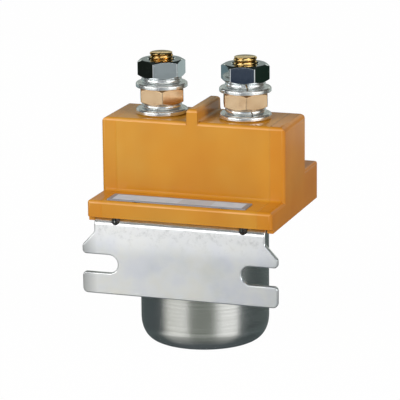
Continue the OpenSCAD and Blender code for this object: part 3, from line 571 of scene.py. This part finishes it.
# The lines are about 0.1 mm apart. They are drawn 0.6 mm apart, or they would not show.
drawn = add(tree, "Mapping", {"Vector": place, "Scale": per_metre(60, 60, 0.6)})
lines = add(tree, "TexNoise", {"Vector": drawn, "Scale": 1.0, "Detail": 3.0, "Roughness": 0.6})
# Plating clouds 11 mm across.
cloud = add(tree, "TexNoise", {"Vector": place, "Scale": per_metre(11), "Detail": 3.0})
zinc = add(tree, "ValToRGB", {"Fac": cloud}, stops=[(0.3, "#e2e3df"), (0.7, "#ebece9")])
# The cloth also leaves the lines themselves a little darker and lighter.
wiped = add(tree, "ValToRGB", {"Fac": lines}, stops=[(0.35, "#e0e0de"), (0.65, "#ffffff")])
colour = add(tree, "Mix", {0: 0.4, 6: zinc, 7: wiped}, **TINT)
gloss = add(tree, "MapRange", {"Value": lines, "To Min": 0.2, "To Max": 0.26})
bump = add(tree, "Bump", {"Height": lines, "Strength": 0.2, "Distance": 0.04 * MM})
fill(shader, {"Base Color": colour, "Roughness": gloss, "Normal": bump})
print("finish:", finishes["can_zinc"].name)

# %% [markdown]
# The small pieces share one recipe: a base colour that wanders a little, and fine scratches
# that change the roughness. Only the numbers differ, so a table holds them: the slot, the real
# finish, its darkest and lightest colour, metallic, roughness from and to, and the size of the
# cloudiness in millimetres. The scratches are drawn a quarter as large as the clouds.

# %% Finishes of the small pieces
RECIPES = [
    # Punched washers: a bright, slightly milky silver whose worn edges catch the light.
    ("washer_zinc", "zinc_plated_punched_steel", "#e9eeef", "#f6f9f9", 0.86, 0.17, 0.23, 3.0),
    # Top nuts: a dark chrome-like mirror, because bright zinc shows the dark room sharply.
    ("bright_zinc_nut", "bright_zinc_plated_forged_steel", "#d3d8db", "#e6ebee", 1.0, 0.04, 0.1,
     8.0),
    # Lower nuts: a satin pinkish tan, paler than pure copper.
    ("copper_nut", "copper_plated_forged_steel", "#d8b68f", "#e6c8a2", 1.0, 0.2, 0.26, 5.0),
    # Studs and terminal inserts: a strong yellow with hard highlights on the thread.
    ("stud_brass", "thread_rolled_brass", "#fcc672", "#ffe09a", 1.0, 0.12, 0.2, 4.0),
    # Screws: a plain silver grey, duller than the washers.
    ("screw_zinc", "zinc_plated_cold_headed_steel", "#c8cccf", "#dfe2e3", 1.0, 0.2, 0.34, 2.0),
    # Locating studs: nearly black, with a thin shine on the thread.
    ("dark_steel", "oil_blackened_turned_steel", "#6a6c6f", "#8c8e92", 1.0, 0.2, 0.34, 1.5),
    # Push rod: a bright, smooth grey without any plating.
    ("rod_steel", "ground_stainless_steel", "#c9ccce", "#dcdedf", 1.0, 0.12, 0.22, 2.0),
    # Core and plunger: a dull dark grey with no clear reflection.
    ("core_iron", "annealed_soft_iron", "#8d9092", "#a5a8aa", 1.0, 0.3, 0.45, 4.0),
    # Springs: a mid grey wire with one bright line along each turn.
    ("spring_steel", "drawn_spring_steel_wire", "#9fa1a2", "#c0c2c3", 1.0, 0.2, 0.32, 1.0),
    # Contact tips: a warm white metal, smooth where the tips meet.
    ("contact_silver", "pressed_silver_tin_oxide", "#dedcd6", "#f0efea", 1.0, 0.18, 0.3, 1.5),
    # Bridge, winding and leads: a red-brown metal, a little uneven.
    ("copper", "bare_rolled_copper", "#b8683e", "#d58a5c", 1.0, 0.22, 0.36, 3.0),
    # Sheet, bushes and tape: a matt straw colour.
    ("insulation", "pressed_insulating_board", "#d8cfae", "#e6dec4", 0.0, 0.55, 0.7, 2.0),
    # Bobbin: an ivory plastic with a slight sheen.
    ("nylon", "injection_moulded_nylon", "#e3ddc9", "#f1ecdc", 0.0, 0.4, 0.52, 4.0),
    # Pads: a dead flat black.
    ("rubber", "moulded_black_rubber", "#232324", "#343436", 0.0, 0.7, 0.82, 2.0),
]
recipe_colours = {}
for slot, title, dark, light, metal, smooth, rough, size in RECIPES:
    tree, shader, place = new_finish(slot, title, {"Metallic": metal})
    cloud = add(tree, "TexNoise", {"Vector": place, "Scale": per_metre(size), "Detail": 3.0})
    colour = add(tree, "ValToRGB", {"Fac": cloud}, stops=[(0.3, dark), (0.7, light)])
    recipe_colours[slot] = colour
    marks = add(tree, "TexNoise", {"Vector": place, "Scale": per_metre(size / 4)})
    gloss = add(tree, "MapRange", {"Value": marks, "To Min": smooth, "To Max": rough})
    bump = add(tree, "Bump", {"Height": marks, "Strength": 0.02, "Distance": 0.03 * MM})
    fill(shader, {"Base Color": colour, "Roughness": gloss, "Normal": bump})
print("finishes:", [finish.name for finish in finishes.values()])

# %% [markdown]
# The roots of the thread get a painted shade: a brown that stands in for the shade the flanks
# cast into the grooves, while the crests keep the brass colour. Shade could be found with an
# Ambient Occlusion node. The distance from the stud's axis tells root from crest at once, with no
# rays to trace.

# %% Painted shade in the roots of the stud threads
tree = finishes["stud_brass"].node_tree
place = add(tree, "TexCoord", out="Object")
axes = add(tree, "SeparateXYZ", {0: place}).node.outputs
beside = add(tree, "Math", {0: axes["X"]}, operation="ABSOLUTE")
beside = add(tree, "Math", {0: beside, 1: STUD_X * MM}, operation="SUBTRACT")
beside = add(tree, "CombineXYZ", {"X": beside, "Y": axes["Y"]})
radius = add(tree, "VectorMath", {0: beside}, out="Value", operation="LENGTH")
crest = {"Value": radius, "From Min": 4.12 * MM, "From Max": 4.32 * MM}
crest = add(tree, "MapRange", crest, interpolation_type="SMOOTHSTEP")
# The turned end faces, from 111.4 mm upwards, get no painted shade.
top = add(tree, "MapRange", {"Value": axes["Z"], "From Min": 111.3 * MM, "From Max": 111.5 * MM})
unshaded = add(tree, "Math", {0: crest, 1: top}, operation="MAXIMUM")
# Painted shade: the thread's roots are mixed towards brown #8a5a18.
painted_root_shade = {0: unshaded, 6: linear("#8a5a18"), 7: recipe_colours["stud_brass"]}
colour = add(tree, "Mix", painted_root_shade, **MIX)
fill(tree.nodes["Principled BSDF"], {"Base Color": colour})
print("brown film on the threads of", finishes["stud_brass"].name)

# %% [markdown]
# The nameplate is pale anodised foil with a matt, lacquered face, so it shows its own colour
# and not the mirror image of the wall behind it. The border is a grey line inside its rim: the
# distance to the nearest edge, read off the object's coordinates, says where it lies. The real
# plate is printed. This one is bare, with a faint plain field where the print is densest.

# %% Anodised foil of the nameplate
# It gives the eye a light blue-grey card with a fine lengthways brushing.
low, high = (np.array(corner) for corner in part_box("nameplate"))
tree, shader, place = new_finish(
    "nameplate_foil", "anodised_brushed_aluminium_foil",
    {"Roughness": 0.42, "Specular IOR Level": 0.35})
middle = tuple((low + high) / 2)
inside = add(tree, "VectorMath", {0: place, 1: middle}, operation="SUBTRACT")
inside = add(tree, "VectorMath", {0: inside}, operation="ABSOLUTE")
inside = add(tree, "VectorMath", {0: tuple((high - low) / 2), 1: inside}, operation="SUBTRACT")
inside = add(tree, "SeparateXYZ", {0: inside}).node.outputs
# The border's ends are twice as wide as its sides.
ends = add(tree, "Math", {0: inside["X"], 1: 0.5}, operation="MULTIPLY")
edge = add(tree, "Math", {0: ends, 1: inside["Y"]}, operation="MINIMUM")
edge = add(tree, "MapRange", {"Value": edge, "From Min": 0.8 * MM, "From Max": MM})
cloud = add(tree, "TexNoise", {"Vector": place, "Scale": per_metre(3.3), "Detail": 3.0})
face = add(tree, "ValToRGB", {"Fac": cloud}, stops=[(0.3, "#b9d2eb"), (0.7, "#c9def7")])
# The field reaches 6.5 mm to each side of a line 5.2 mm right of the middle.
field = add(tree, "SeparateXYZ", {0: place}, out="X")
field = add(tree, "Math", {0: field, 1: 5.2 * MM}, operation="SUBTRACT")
field = add(tree, "Math", {0: field}, operation="ABSOLUTE")
field = {"Value": field, "From Min": 6.7 * MM, "From Max": 6.4 * MM, "To Max": 0.4}
field = add(tree, "MapRange", field)
face = add(tree, "Mix", {0: field, 6: face, 7: linear("#a4afb9")}, **MIX)
colour = add(tree, "Mix", {0: edge, 6: linear("#87919f"), 7: face}, **MIX)
# Brushing lines are 0.05 mm wide. They are drawn 0.4 mm wide and 10 mm long.
brushed = add(tree, "Mapping", {"Vector": place, "Scale": per_metre(10, 0.4, 10)})
brushed = add(tree, "TexNoise", {"Vector": brushed, "Scale": 1.0})
bump = add(tree, "Bump", {"Height": brushed, "Strength": 0.1, "Distance": 0.04 * MM})
fill(shader, {"Base Color": colour, "Normal": bump})
print("finish:", finishes["nameplate_foil"].name)

# %% [markdown]
# The nodes that keep their CAD shape, such as the coil, the core and the rear terminals, only
# change their material: each slot of the record gets the finish made for it.

# %% Finishes on the CAD nodes
for node in nodes.values():
    for material_slot in node.material_slots:
        material_slot.material = finishes[material_slot.material.name]
print("nodes with finishes:", len(nodes))

# %% [markdown]
# ## Rounded outlines and new pieces
# Real edges are never perfectly sharp: a thin bright line runs along them. A Bevel modifier
# can add it. Here each turned or pressed piece is a small profile with rounded corners that is
# carried round an axis, so that every edge gets its own radius.

# %% Helpers for shapes
def unit(vectors):
    """Vectors scaled to length 1 along the last axis."""
    return vectors / np.linalg.norm(vectors, axis=-1, keepdims=True)


def soft_corners(corners, radii, steps=4, hold=0.04):
    """Closed outlines with a round at each corner, for an array (..., corners, 2). A round
    touches both sides at radius / tan(half the angle) from its corner, and its points turn
    evenly about its centre. One more point stands hold beyond each end, so that smooth
    shading keeps the flats flat."""
    corners = np.asarray(corners, float)
    radii = np.broadcast_to(np.asarray(radii, float), corners.shape[:-1])[..., None]
    before = unit(np.roll(corners, 1, -2) - corners)
    after = unit(np.roll(corners, -1, -2) - corners)
    half = np.arccos(np.clip((before * after).sum(-1, keepdims=True), -1, 1)) / 2
    reach = radii / np.tan(half)
    centre = corners + unit(before + after) * radii / np.sin(half)
    start = (corners + before * reach - centre)[..., None, :]
    end = (corners + after * reach - centre)[..., None, :]
    turn = (np.pi - 2 * half)[..., None, :]
    share = np.linspace(0, 1, steps)[:, None]
    arc = (np.sin((1 - share) * turn) * start + np.sin(share * turn) * end) / np.sin(turn)
    first = (corners + before * (reach + hold))[..., None, :]
    last = (corners + after * (reach + hold))[..., None, :]
    rows = np.concatenate([first, arc + centre[..., None, :], last], -2)
    return rows.reshape(*rows.shape[:-3], -1, 2)


def round_axis(r, angle, z, x=0.0, y=0.0):
    """Points at these radii, angles and heights round an upright axis at x and y."""
    r, angle, z = np.broadcast_arrays(r, angle, z)
    return np.stack([x + r * np.cos(angle), y + r * np.sin(angle), z], -1)


def turned(profile, angles, x):
    """A profile (radius, height) carried round an upright axis at x: rows run along the
    profile, columns round the axis. The profile may differ from angle to angle."""
    profile = np.broadcast_to(profile, (len(angles), *np.shape(profile)[-2:]))
    return round_axis(profile[..., 0].T, angles, profile[..., 1].T, x)


def round_turn(steps):
    """Angles of one full turn in even steps."""
    return np.linspace(0, 2 * np.pi, steps, endpoint=False)


square = soft_corners([(0, 0), (1, 0), (1, 1), (0, 1)], 0.2)
print("a square with four soft corners has", len(square), "points")

# %% [markdown]
# Each piece rides on the body of the CAD node that it stands for, takes that node's finish and
# hides it. Its faces are smooth, and only edges that turn sharply stay sharp.

# %% Helpers for pieces
def smooth_shading(mesh, crease=None):
    """Smooth faces; edges that turn by more than crease degrees stay sharp."""
    mesh.polygons.foreach_set("use_smooth", np.ones(len(mesh.polygons), bool))
    if crease:
        mesh.set_sharp_from_angle(angle=np.radians(crease))


def stand_for(piece, node):
    """The piece takes the place of a CAD node."""
    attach(piece, nodes[node]["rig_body"])
    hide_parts(node)
    print(piece.name, "faces:", len(piece.data.polygons))


def new_piece(name, points, faces, slot, node, crease=38):
    """A piece from points in millimetres and faces, in the finish of a slot."""
    piece = new_object(name, np.asarray(points) * MM, faces, finishes[slot])
    smooth_shading(piece.data, crease)
    stand_for(piece, node)
    return piece


SIDES = ("left", "right")
print("pieces come in pairs:", SIDES)

# %% [markdown]
# ## Washers
# The flat washers are punched from sheet: the punch rounds the upper edge and leaves the lower
# one crisp. A cylinder with a bevel would round both alike, so the profile is drawn instead.

# %% Flat washers
WASHER_BORE = 5.3


def flat_washer(node, new_name):
    """A closed ring profile with a large round on its upper outer edge."""
    low, high = box_mm(node)
    outer = (high[0] - low[0]) / 2
    inner = WASHER_BORE
    corners = [(inner, low[2]), (outer, low[2]), (outer, high[2]), (inner, high[2])]
    profile = soft_corners(corners, [0.2, 0.3, 0.7, 0.25], steps=5)
    points = turned(profile, round_turn(96), axis_x(node))
    new_piece(new_name, points, grid_faces(*points.shape[:2], True, True), "washer_zinc", node)


for side in SIDES:
    flat_washer(f"base_washer_{side}", f"seat_washer_{side}")
    flat_washer(f"top_washer_{side}", f"clamp_washer_{side}")

# %% [markdown]
# The lock washers are split rings of rolled wire with round corners. The cut leans over,
# because the wire is cut on a slant before it is coiled. A Boolean could cut the gap out of a
# whole ring. Sweeping the section from one face of the gap to the other leaves clean ends.

# %% Split lock washers
LOCK_BORE, GAP, GAP_LEAN = 5.15, 0.5, np.radians(20)


def split_washer(node, new_name, gap_turn):
    """A rounded section swept round the stud. The faces of the gap are parallel, so its half
    angle is half the gap / radius, and its middle shifts by height * tan(lean) to one side."""
    low, high = box_mm(node)
    outer, middle = (high[0] - low[0]) / 2, (low[2] + high[2]) / 2
    corners = [(LOCK_BORE, low[2]), (outer, low[2]), (outer, high[2]), (LOCK_BORE, high[2])]
    r, z = soft_corners(corners, [0.3, 0.9, 1.0, 0.3], steps=6).T[:, :, None]
    share = np.linspace(0, 1, 97)
    half = GAP / 2 / np.cos(GAP_LEAN) / r
    lean = -(z - middle) * np.tan(GAP_LEAN) / r
    angle = np.radians(gap_turn) + lean + half + share * (2 * np.pi - 2 * half)
    points = round_axis(r, angle, z, axis_x(node))
    new_piece(new_name, points, closed_sweep(*points.shape[:2]), "washer_zinc", node)


for side, base_gap, top_gap in (("left", 75, 75), ("right", 306, 292)):
    split_washer(f"base_lock_washer_{side}", f"seat_lock_washer_{side}", base_gap)
    split_washer(f"top_lock_washer_{side}", f"clamp_lock_washer_{side}", top_gap)

# %% [markdown]
# ## Nuts
# A hexagon nut is a hexagonal bar with a cone turned off each end, so the cone cuts a curve
# into each flat. Its bore is countersunk. The hexagon is the distance from the axis as a
# function of the angle, and the cone gives the height at which each flat starts.

# %% Hexagon of the nuts
NUT_FLATS = 16.4
SIXTH = np.pi / 3


def round_polygon(turns, radius, corner_round, **more):
    """Angles, in order, and radii of the points of a polygon. Its round corners lie at these
    turns and at one radius."""
    corners = np.stack([np.cos(turns), np.sin(turns)], -1) * radius
    outline = soft_corners(corners, corner_round, **more)
    angle = np.arctan2(outline[:, 1], outline[:, 0]) % (2 * np.pi)
    order = np.argsort(angle)
    return angle[order], np.linalg.norm(outline, axis=-1)[order]


def from_nearest(angles, turn):
    """Angles counted from the nearest of six directions, one of them at turn degrees."""
    return (angles - np.radians(turn) + SIXTH / 2) % SIXTH - SIXTH / 2


def hexagon(corner_turn, corner_round):
    """Angles and radii of a hexagon with round corners, one of them at corner_turn degrees. A
    flat lies at apothem / cos(angle from its middle), and the rounds join the flats."""
    turns = np.radians(corner_turn) + SIXTH * np.arange(6)
    radius = NUT_FLATS / 2 / np.cos(SIXTH / 2)
    known, spread = round_polygon(turns, radius, corner_round, steps=5, hold=0.1)
    even = (np.radians(corner_turn) + round_turn(72)) % (2 * np.pi)
    angles = np.unique(np.round(np.concatenate([known, even]), 5))
    straight = NUT_FLATS / 2 / np.cos(from_nearest(angles, corner_turn + 30))
    rounded = np.interp(angles, known, spread, period=2 * np.pi)
    reach = (corner_round * np.tan(SIXTH / 2) + 0.05) / radius
    near_corner = np.abs(from_nearest(angles, corner_turn)) < reach
    return angles, np.where(near_corner, rounded, straight)


print("across the corners:", round(NUT_FLATS / np.cos(SIXTH / 2), 2), "mm")

# %% [markdown]
# The nut's profile climbs from the bore over the countersink and the lower cone to the side,
# and comes back over the upper cone. It differs from angle to angle, as the hexagon does.

# %% Nuts
NUT_BORE, COUNTERSINK, CONE_INSET = 5.05, 0.5, 0.3


def nut(node, new_name, slot, corner_turn, corner_round):
    """A hexagon nut: the side runs between two heights, (radius - face radius) * tan(30
    degrees) inside each end, which is where the turned cone meets the flats. The upper half
    of the profile mirrors the lower half."""
    low, high = box_mm(node)
    angles, side = hexagon(corner_turn, corner_round)
    face = NUT_FLATS / 2 - CONE_INSET
    rise = (side - face) * np.tan(np.radians(30))
    r = np.stack(np.broadcast_arrays(NUT_BORE, NUT_BORE + COUNTERSINK, face, side), -1)
    inset = np.stack(np.broadcast_arrays(COUNTERSINK, 0.0, 0.0, rise), -1)
    z = np.concatenate([low[2] + inset, high[2] - inset[:, ::-1]], -1)
    corners = np.stack([np.concatenate([r, r[:, ::-1]], -1), z], -1)
    rounds = [0.05, 0.08, 0.08, 0.1, 0.1, 0.08, 0.08, 0.05]
    points = turned(soft_corners(corners, rounds, hold=0.025), angles, axis_x(node))
    new_piece(new_name, points, grid_faces(*points.shape[:2], True, True), slot, node, crease=50)


for side in SIDES:
    nut(f"lower_nut_{side}", f"copper_nut_{side}", "copper_nut", 291, corner_round=0.4)
for side, corner_turn in zip(SIDES, (330, 309.5)):
    nut(f"upper_nut_{side}", f"zinc_nut_{side}", "bright_zinc_nut", corner_turn, corner_round=0.6)

# %% [markdown]
# ## Terminal studs
# The studs are turned brass with a rolled M10 thread, 1.5 mm from turn to turn. A thread could
# be a Screw modifier on a tooth. As a grid it is simpler: the radius depends on how far the
# height is from the thread's crest at that angle, so the crests climb one pitch each turn.

# %% Rolled thread
def thread_radius(angle, z, crest, depth, pitch):
    """Radius of a right-hand rolled thread: a rounded wave between crest and root, whose
    phase is height / pitch - angle / full turn, so a crest climbs one pitch each turn."""
    phase = 2 * np.pi * z / pitch - angle
    return crest - depth * (0.5 - 0.5 * np.cos(phase))


M10_PITCH = 1.5
print("turns of thread in a 7 mm nut:", round(7 / M10_PITCH, 1))

# %% [markdown]
# Inside the housing each stud ends in a square head with soft corners, which keeps it from
# turning while its nuts are tightened. The free end has a shallower first few turns and a
# round chamfer, so that a nut starts easily.

# %% Threaded studs
HEAD_HEIGHT, HEAD_EASE, HEAD_CORNER = 3.5, 0.3, 1.4
CREST, FREE_CREST, DEPTH, FREE_DEPTH = 4.95, 4.5, 0.8, 0.36
END_HEIGHT, END_INSET, ROW = 0.6, 0.7, 0.11


def rounded_square(angle, width, corner_round):
    """Distance from the middle of a square with round corners, as a function of the angle."""
    turns = np.radians([45, 135, 225, 315])
    known, spread = round_polygon(turns, width / np.sqrt(2), corner_round, steps=8)
    return np.interp(angle, known, spread, period=2 * np.pi)


def stud(node, new_name, nut_node, turn):
    """Rows climb from the square head's underside to the end. Within 0.4 mm round the top of
    the upper nut the thread falls to its free size. The end's chamfer is a quarter ellipse."""
    low, high = box_mm(node)
    nut_top = box_mm(nut_node)[1][2]
    angle = round_turn(96)[None, :]
    ease = HEAD_EASE * np.array([1, 0.3, 0, 0, 0.3, 1])[:, None]
    head = rounded_square(angle, high[0] - low[0], HEAD_CORNER) - ease
    climb = HEAD_EASE * np.array([0, 0.3, 1, -1, -0.3, 0])[:, None]
    climb[3:] += HEAD_HEIGHT
    shank_z = np.arange(low[2] + HEAD_HEIGHT, high[2] - ROW / 2, ROW)[:, None]
    shank_z = np.concatenate([shank_z, [[high[2]]]])
    settle = np.clip((shank_z - nut_top + 0.2) / 0.4, 0, 1)
    crest = CREST + (FREE_CREST - CREST) * settle
    depth = DEPTH + (FREE_DEPTH - DEPTH) * settle
    shank = thread_radius(angle + np.radians(turn), shank_z, crest, depth, M10_PITCH)
    end = np.clip((shank_z - high[2] + END_HEIGHT) / END_HEIGHT, 0, 1)
    shank = np.minimum(shank, FREE_CREST - END_INSET * (1 - np.sqrt(1 - end ** 2)))
    r = np.concatenate([head, shank])
    z = np.concatenate([low[2] + climb, shank_z])
    points = round_axis(r, angle, z, axis_x(node))
    new_piece(new_name, points, closed_tube(*r.shape), "stud_brass", node)


for side, turn in zip(SIDES, (200, 20)):
    stud(f"stud_{side}", f"threaded_stud_{side}", f"upper_nut_{side}", turn)

# %% [markdown]
# ## Sheet metal and moulding
# The bracket and the housing keep the exact shapes of the solids. Their sharp edges still need
# easing, so a copy of each node is joined into clean faces and given a Bevel modifier that
# works only where two faces meet at an angle.

# %% Copies of CAD nodes
def joined(node):
    """The mesh of a CAD node, copied for editing, with its loose triangles joined."""
    work = bmesh.new()
    work.from_mesh(nodes[node].data)
    bmesh.ops.remove_doubles(work, verts=work.verts, dist=0.002 * MM)
    return work


def piece_from(work, node, new_name):
    """A new object from an edited copy, with the node's material and without its normals."""
    mesh = nodes[node].data.copy()
    work.to_mesh(mesh)
    work.free()
    if "custom_normal" in mesh.attributes:
        mesh.attributes.remove(mesh.attributes["custom_normal"])
    piece = bpy.data.objects.new(new_name, mesh)
    bpy.context.scene.collection.objects.link(piece)
    return piece


print("loose triangles in the housing:", len(nodes["housing"].data.polygons))

# %% [markdown]
# The bevel works by weights. Each sharp edge gets the weight 1, except round the mouths of the
# two notches in the bend: the rounded bend leaves no room for a bevel beside them.

# %% Bracket and housing with eased edges
NOTCH_X, NOTCH_REACH, NOTCH_BOTTOM, NOTCH_BACK = 25.4, 3.6, 49.4, -26.4


def at_notch(x, y, z):
    """Whether a point in millimetres lies at the mouth of a notch."""
    return abs(abs(x) - NOTCH_X) < NOTCH_REACH and z > NOTCH_BOTTOM and y < NOTCH_BACK


def eased_copy(node, new_name, width, segments, angle):
    """A copy of a CAD node: its flat faces merged, its edges of more than angle degrees eased."""
    work = joined(node)
    flat = np.radians(0.6)
    bmesh.ops.dissolve_limit(work, angle_limit=flat, verts=work.verts, edges=work.edges)
    weight = work.edges.layers.float.new("bevel_weight_edge")
    for edge in work.edges:
        middle = (edge.verts[0].co + edge.verts[1].co) / 2 / MM
        sharp = edge.calc_face_angle(0) > np.radians(angle)
        edge[weight] = float(sharp and not at_notch(*middle))
        edge.smooth = not sharp
    piece = piece_from(work, node, new_name)
    smooth_shading(piece.data)
    ease = piece.modifiers.new("eased_edges", "BEVEL")
    ease.width, ease.segments, ease.limit_method = width * MM, segments, "WEIGHT"
    ease.harden_normals, ease.use_clamp_overlap = True, False
    ease.miter_outer = "MITER_ARC"
    stand_for(piece, node)


eased_copy("bracket", "bent_bracket", width=0.6, segments=4, angle=30)
eased_copy("housing", "moulded_housing", width=0.22, segments=2, angle=32)

# %% [markdown]
# ## Coil can
# The can is deep-drawn: the metal thins and stretches over the punch, so its lower corner is
# not a quarter circle but a longer sweep that tightens towards the floor. The sweep catches a
# bright line where the wall begins to turn. A copy of the CAD node gets it by moving points.

# %% Deep-drawn can
def drawn_can(node, new_name, corner, reach, rise):
    """A copy of the can. Points on its outer corner arc, a quarter circle of radius corner,
    move onto a quarter ellipse that reaches inwards by reach and rises by rise."""
    piece = piece_from(joined(node), node, new_name)
    mesh = piece.data
    points = np.zeros(len(mesh.vertices) * 3, np.float32)
    mesh.vertices.foreach_get("co", points)
    points = points.reshape(-1, 3) / MM
    radius = np.linalg.norm(points[:, :2], axis=1)
    outer = radius.max()
    arc = np.hypot(radius - outer + corner, points[:, 2] - corner)
    hair = 0.01
    moved = (points[:, 2] < corner + hair) & (radius > outer - corner - hair)
    moved &= abs(arc - corner) < 5 * hair
    new_radius = outer - (outer - radius) * reach / corner
    points[moved, :2] *= (new_radius / radius)[moved, None]
    points[moved, 2] *= rise / corner
    mesh.vertices.foreach_set("co", (points * MM).astype(np.float32).ravel())
    smooth_shading(mesh, crease=35)
    stand_for(piece, node)
    print("corner points moved:", int(moved.sum()))


drawn_can("can", "deep_drawn_can", corner=5.5, reach=5.1, rise=8.5)

# %% [markdown]
# ## Nameplate
# A plain plate of pale foil, bare of print. It is 0.4 mm thick with round corners, so it is
# made as rings of its outline that climb the rim, turn over a small round and run inwards.

# %% Nameplate
low, high = box_mm("nameplate")
corners = [(low[0], low[1]), (high[0], low[1]), (high[0], high[1]), (low[0], high[1])]
outline = soft_corners(corners, 0.6, steps=6)
middle, half = (low[:2] + high[:2]) / 2, (high[:2] - low[:2]) / 2
inward = np.array([0.0, 0.0, 0.03, 0.1, 0.7])[:, None, None]
heights = np.array([low[2], high[2] - 0.1, high[2] - 0.03, high[2], high[2]])[:, None, None]
rings = middle + (outline - middle) * (1 - inward / half)
points = np.concatenate([rings, heights + 0 * rings[..., :1]], -1)
faces = closed_tube(*points.shape[:2])
new_piece("foil_nameplate", points, faces, "nameplate_foil", "nameplate")

# %% [markdown]
# ## Locating studs
# Two blackened studs lock the housing to the plate; their threaded ends show in the notches.
# They are one CAD node, so both go into one mesh: the second stud's faces count on from the
# first one's points.

# %% Locating studs
RADIUS, CHAMFER, FINE_DEPTH, FINE_PITCH = 1.5, 0.4, 0.22, 0.5
low, high = box_mm("locating_studs")
y = (low[1] + high[1]) / 2
angle = round_turn(48)[None, :]
z = np.linspace(low[2], high[2], 84)[:, None]
r = thread_radius(angle, z, RADIUS, FINE_DEPTH, FINE_PITCH)
r = np.minimum(r, RADIUS - CHAMFER + np.clip(z - low[2], 0, CHAMFER))
places = (low[0] + RADIUS, high[0] - RADIUS)
points = [round_axis(r, angle, z, x, y) for x in places]
faces = closed_tube(*r.shape)
faces += [face + r.size for face in faces]
new_piece("threaded_locating_studs", points, faces, "dark_steel", "locating_studs")

# %% [markdown]
# ## Springs
# Two compression springs work inside. Each is a round wire swept along a helix whose end turns
# lie flat. A Screw modifier makes an even helix only, so the height of each turn is worked out.

# %% Springs
def spring(node, new_name, radius, wire, turns):
    """A wire circle carried along a helix. The height of its middle stays level for half a turn
    at each end and climbs evenly between; across the helix the circle stands upright."""
    low, high = box_mm(node)
    t = np.linspace(0, turns, int(turns * 40) + 1)[None, :]
    climb = np.clip((t - 0.5) / (turns - 1), 0, 1)
    middle = low[2] + wire + (high[2] - low[2] - 2 * wire) * climb
    section = round_turn(14)[:, None]
    r = radius + wire * np.cos(section)
    points = round_axis(r, 2 * np.pi * t, middle + wire * np.sin(section))
    piece = new_piece(new_name, points, closed_sweep(*points.shape[:2]), "spring_steel", node)
    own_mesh(piece)


spring("return_spring", "coiled_return_spring", radius=4.4, wire=0.5, turns=5.5)
spring("contact_spring", "coiled_contact_spring", radius=4.6, wire=0.55, turns=4.0)

# %% [markdown]
# ## Size
# The box round the finished model, without the studio, is printed in millimetres.

# %% Size of the model
low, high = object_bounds()
print("box of the finished model in mm:", [round(v / MM, 1) for v in high - low])
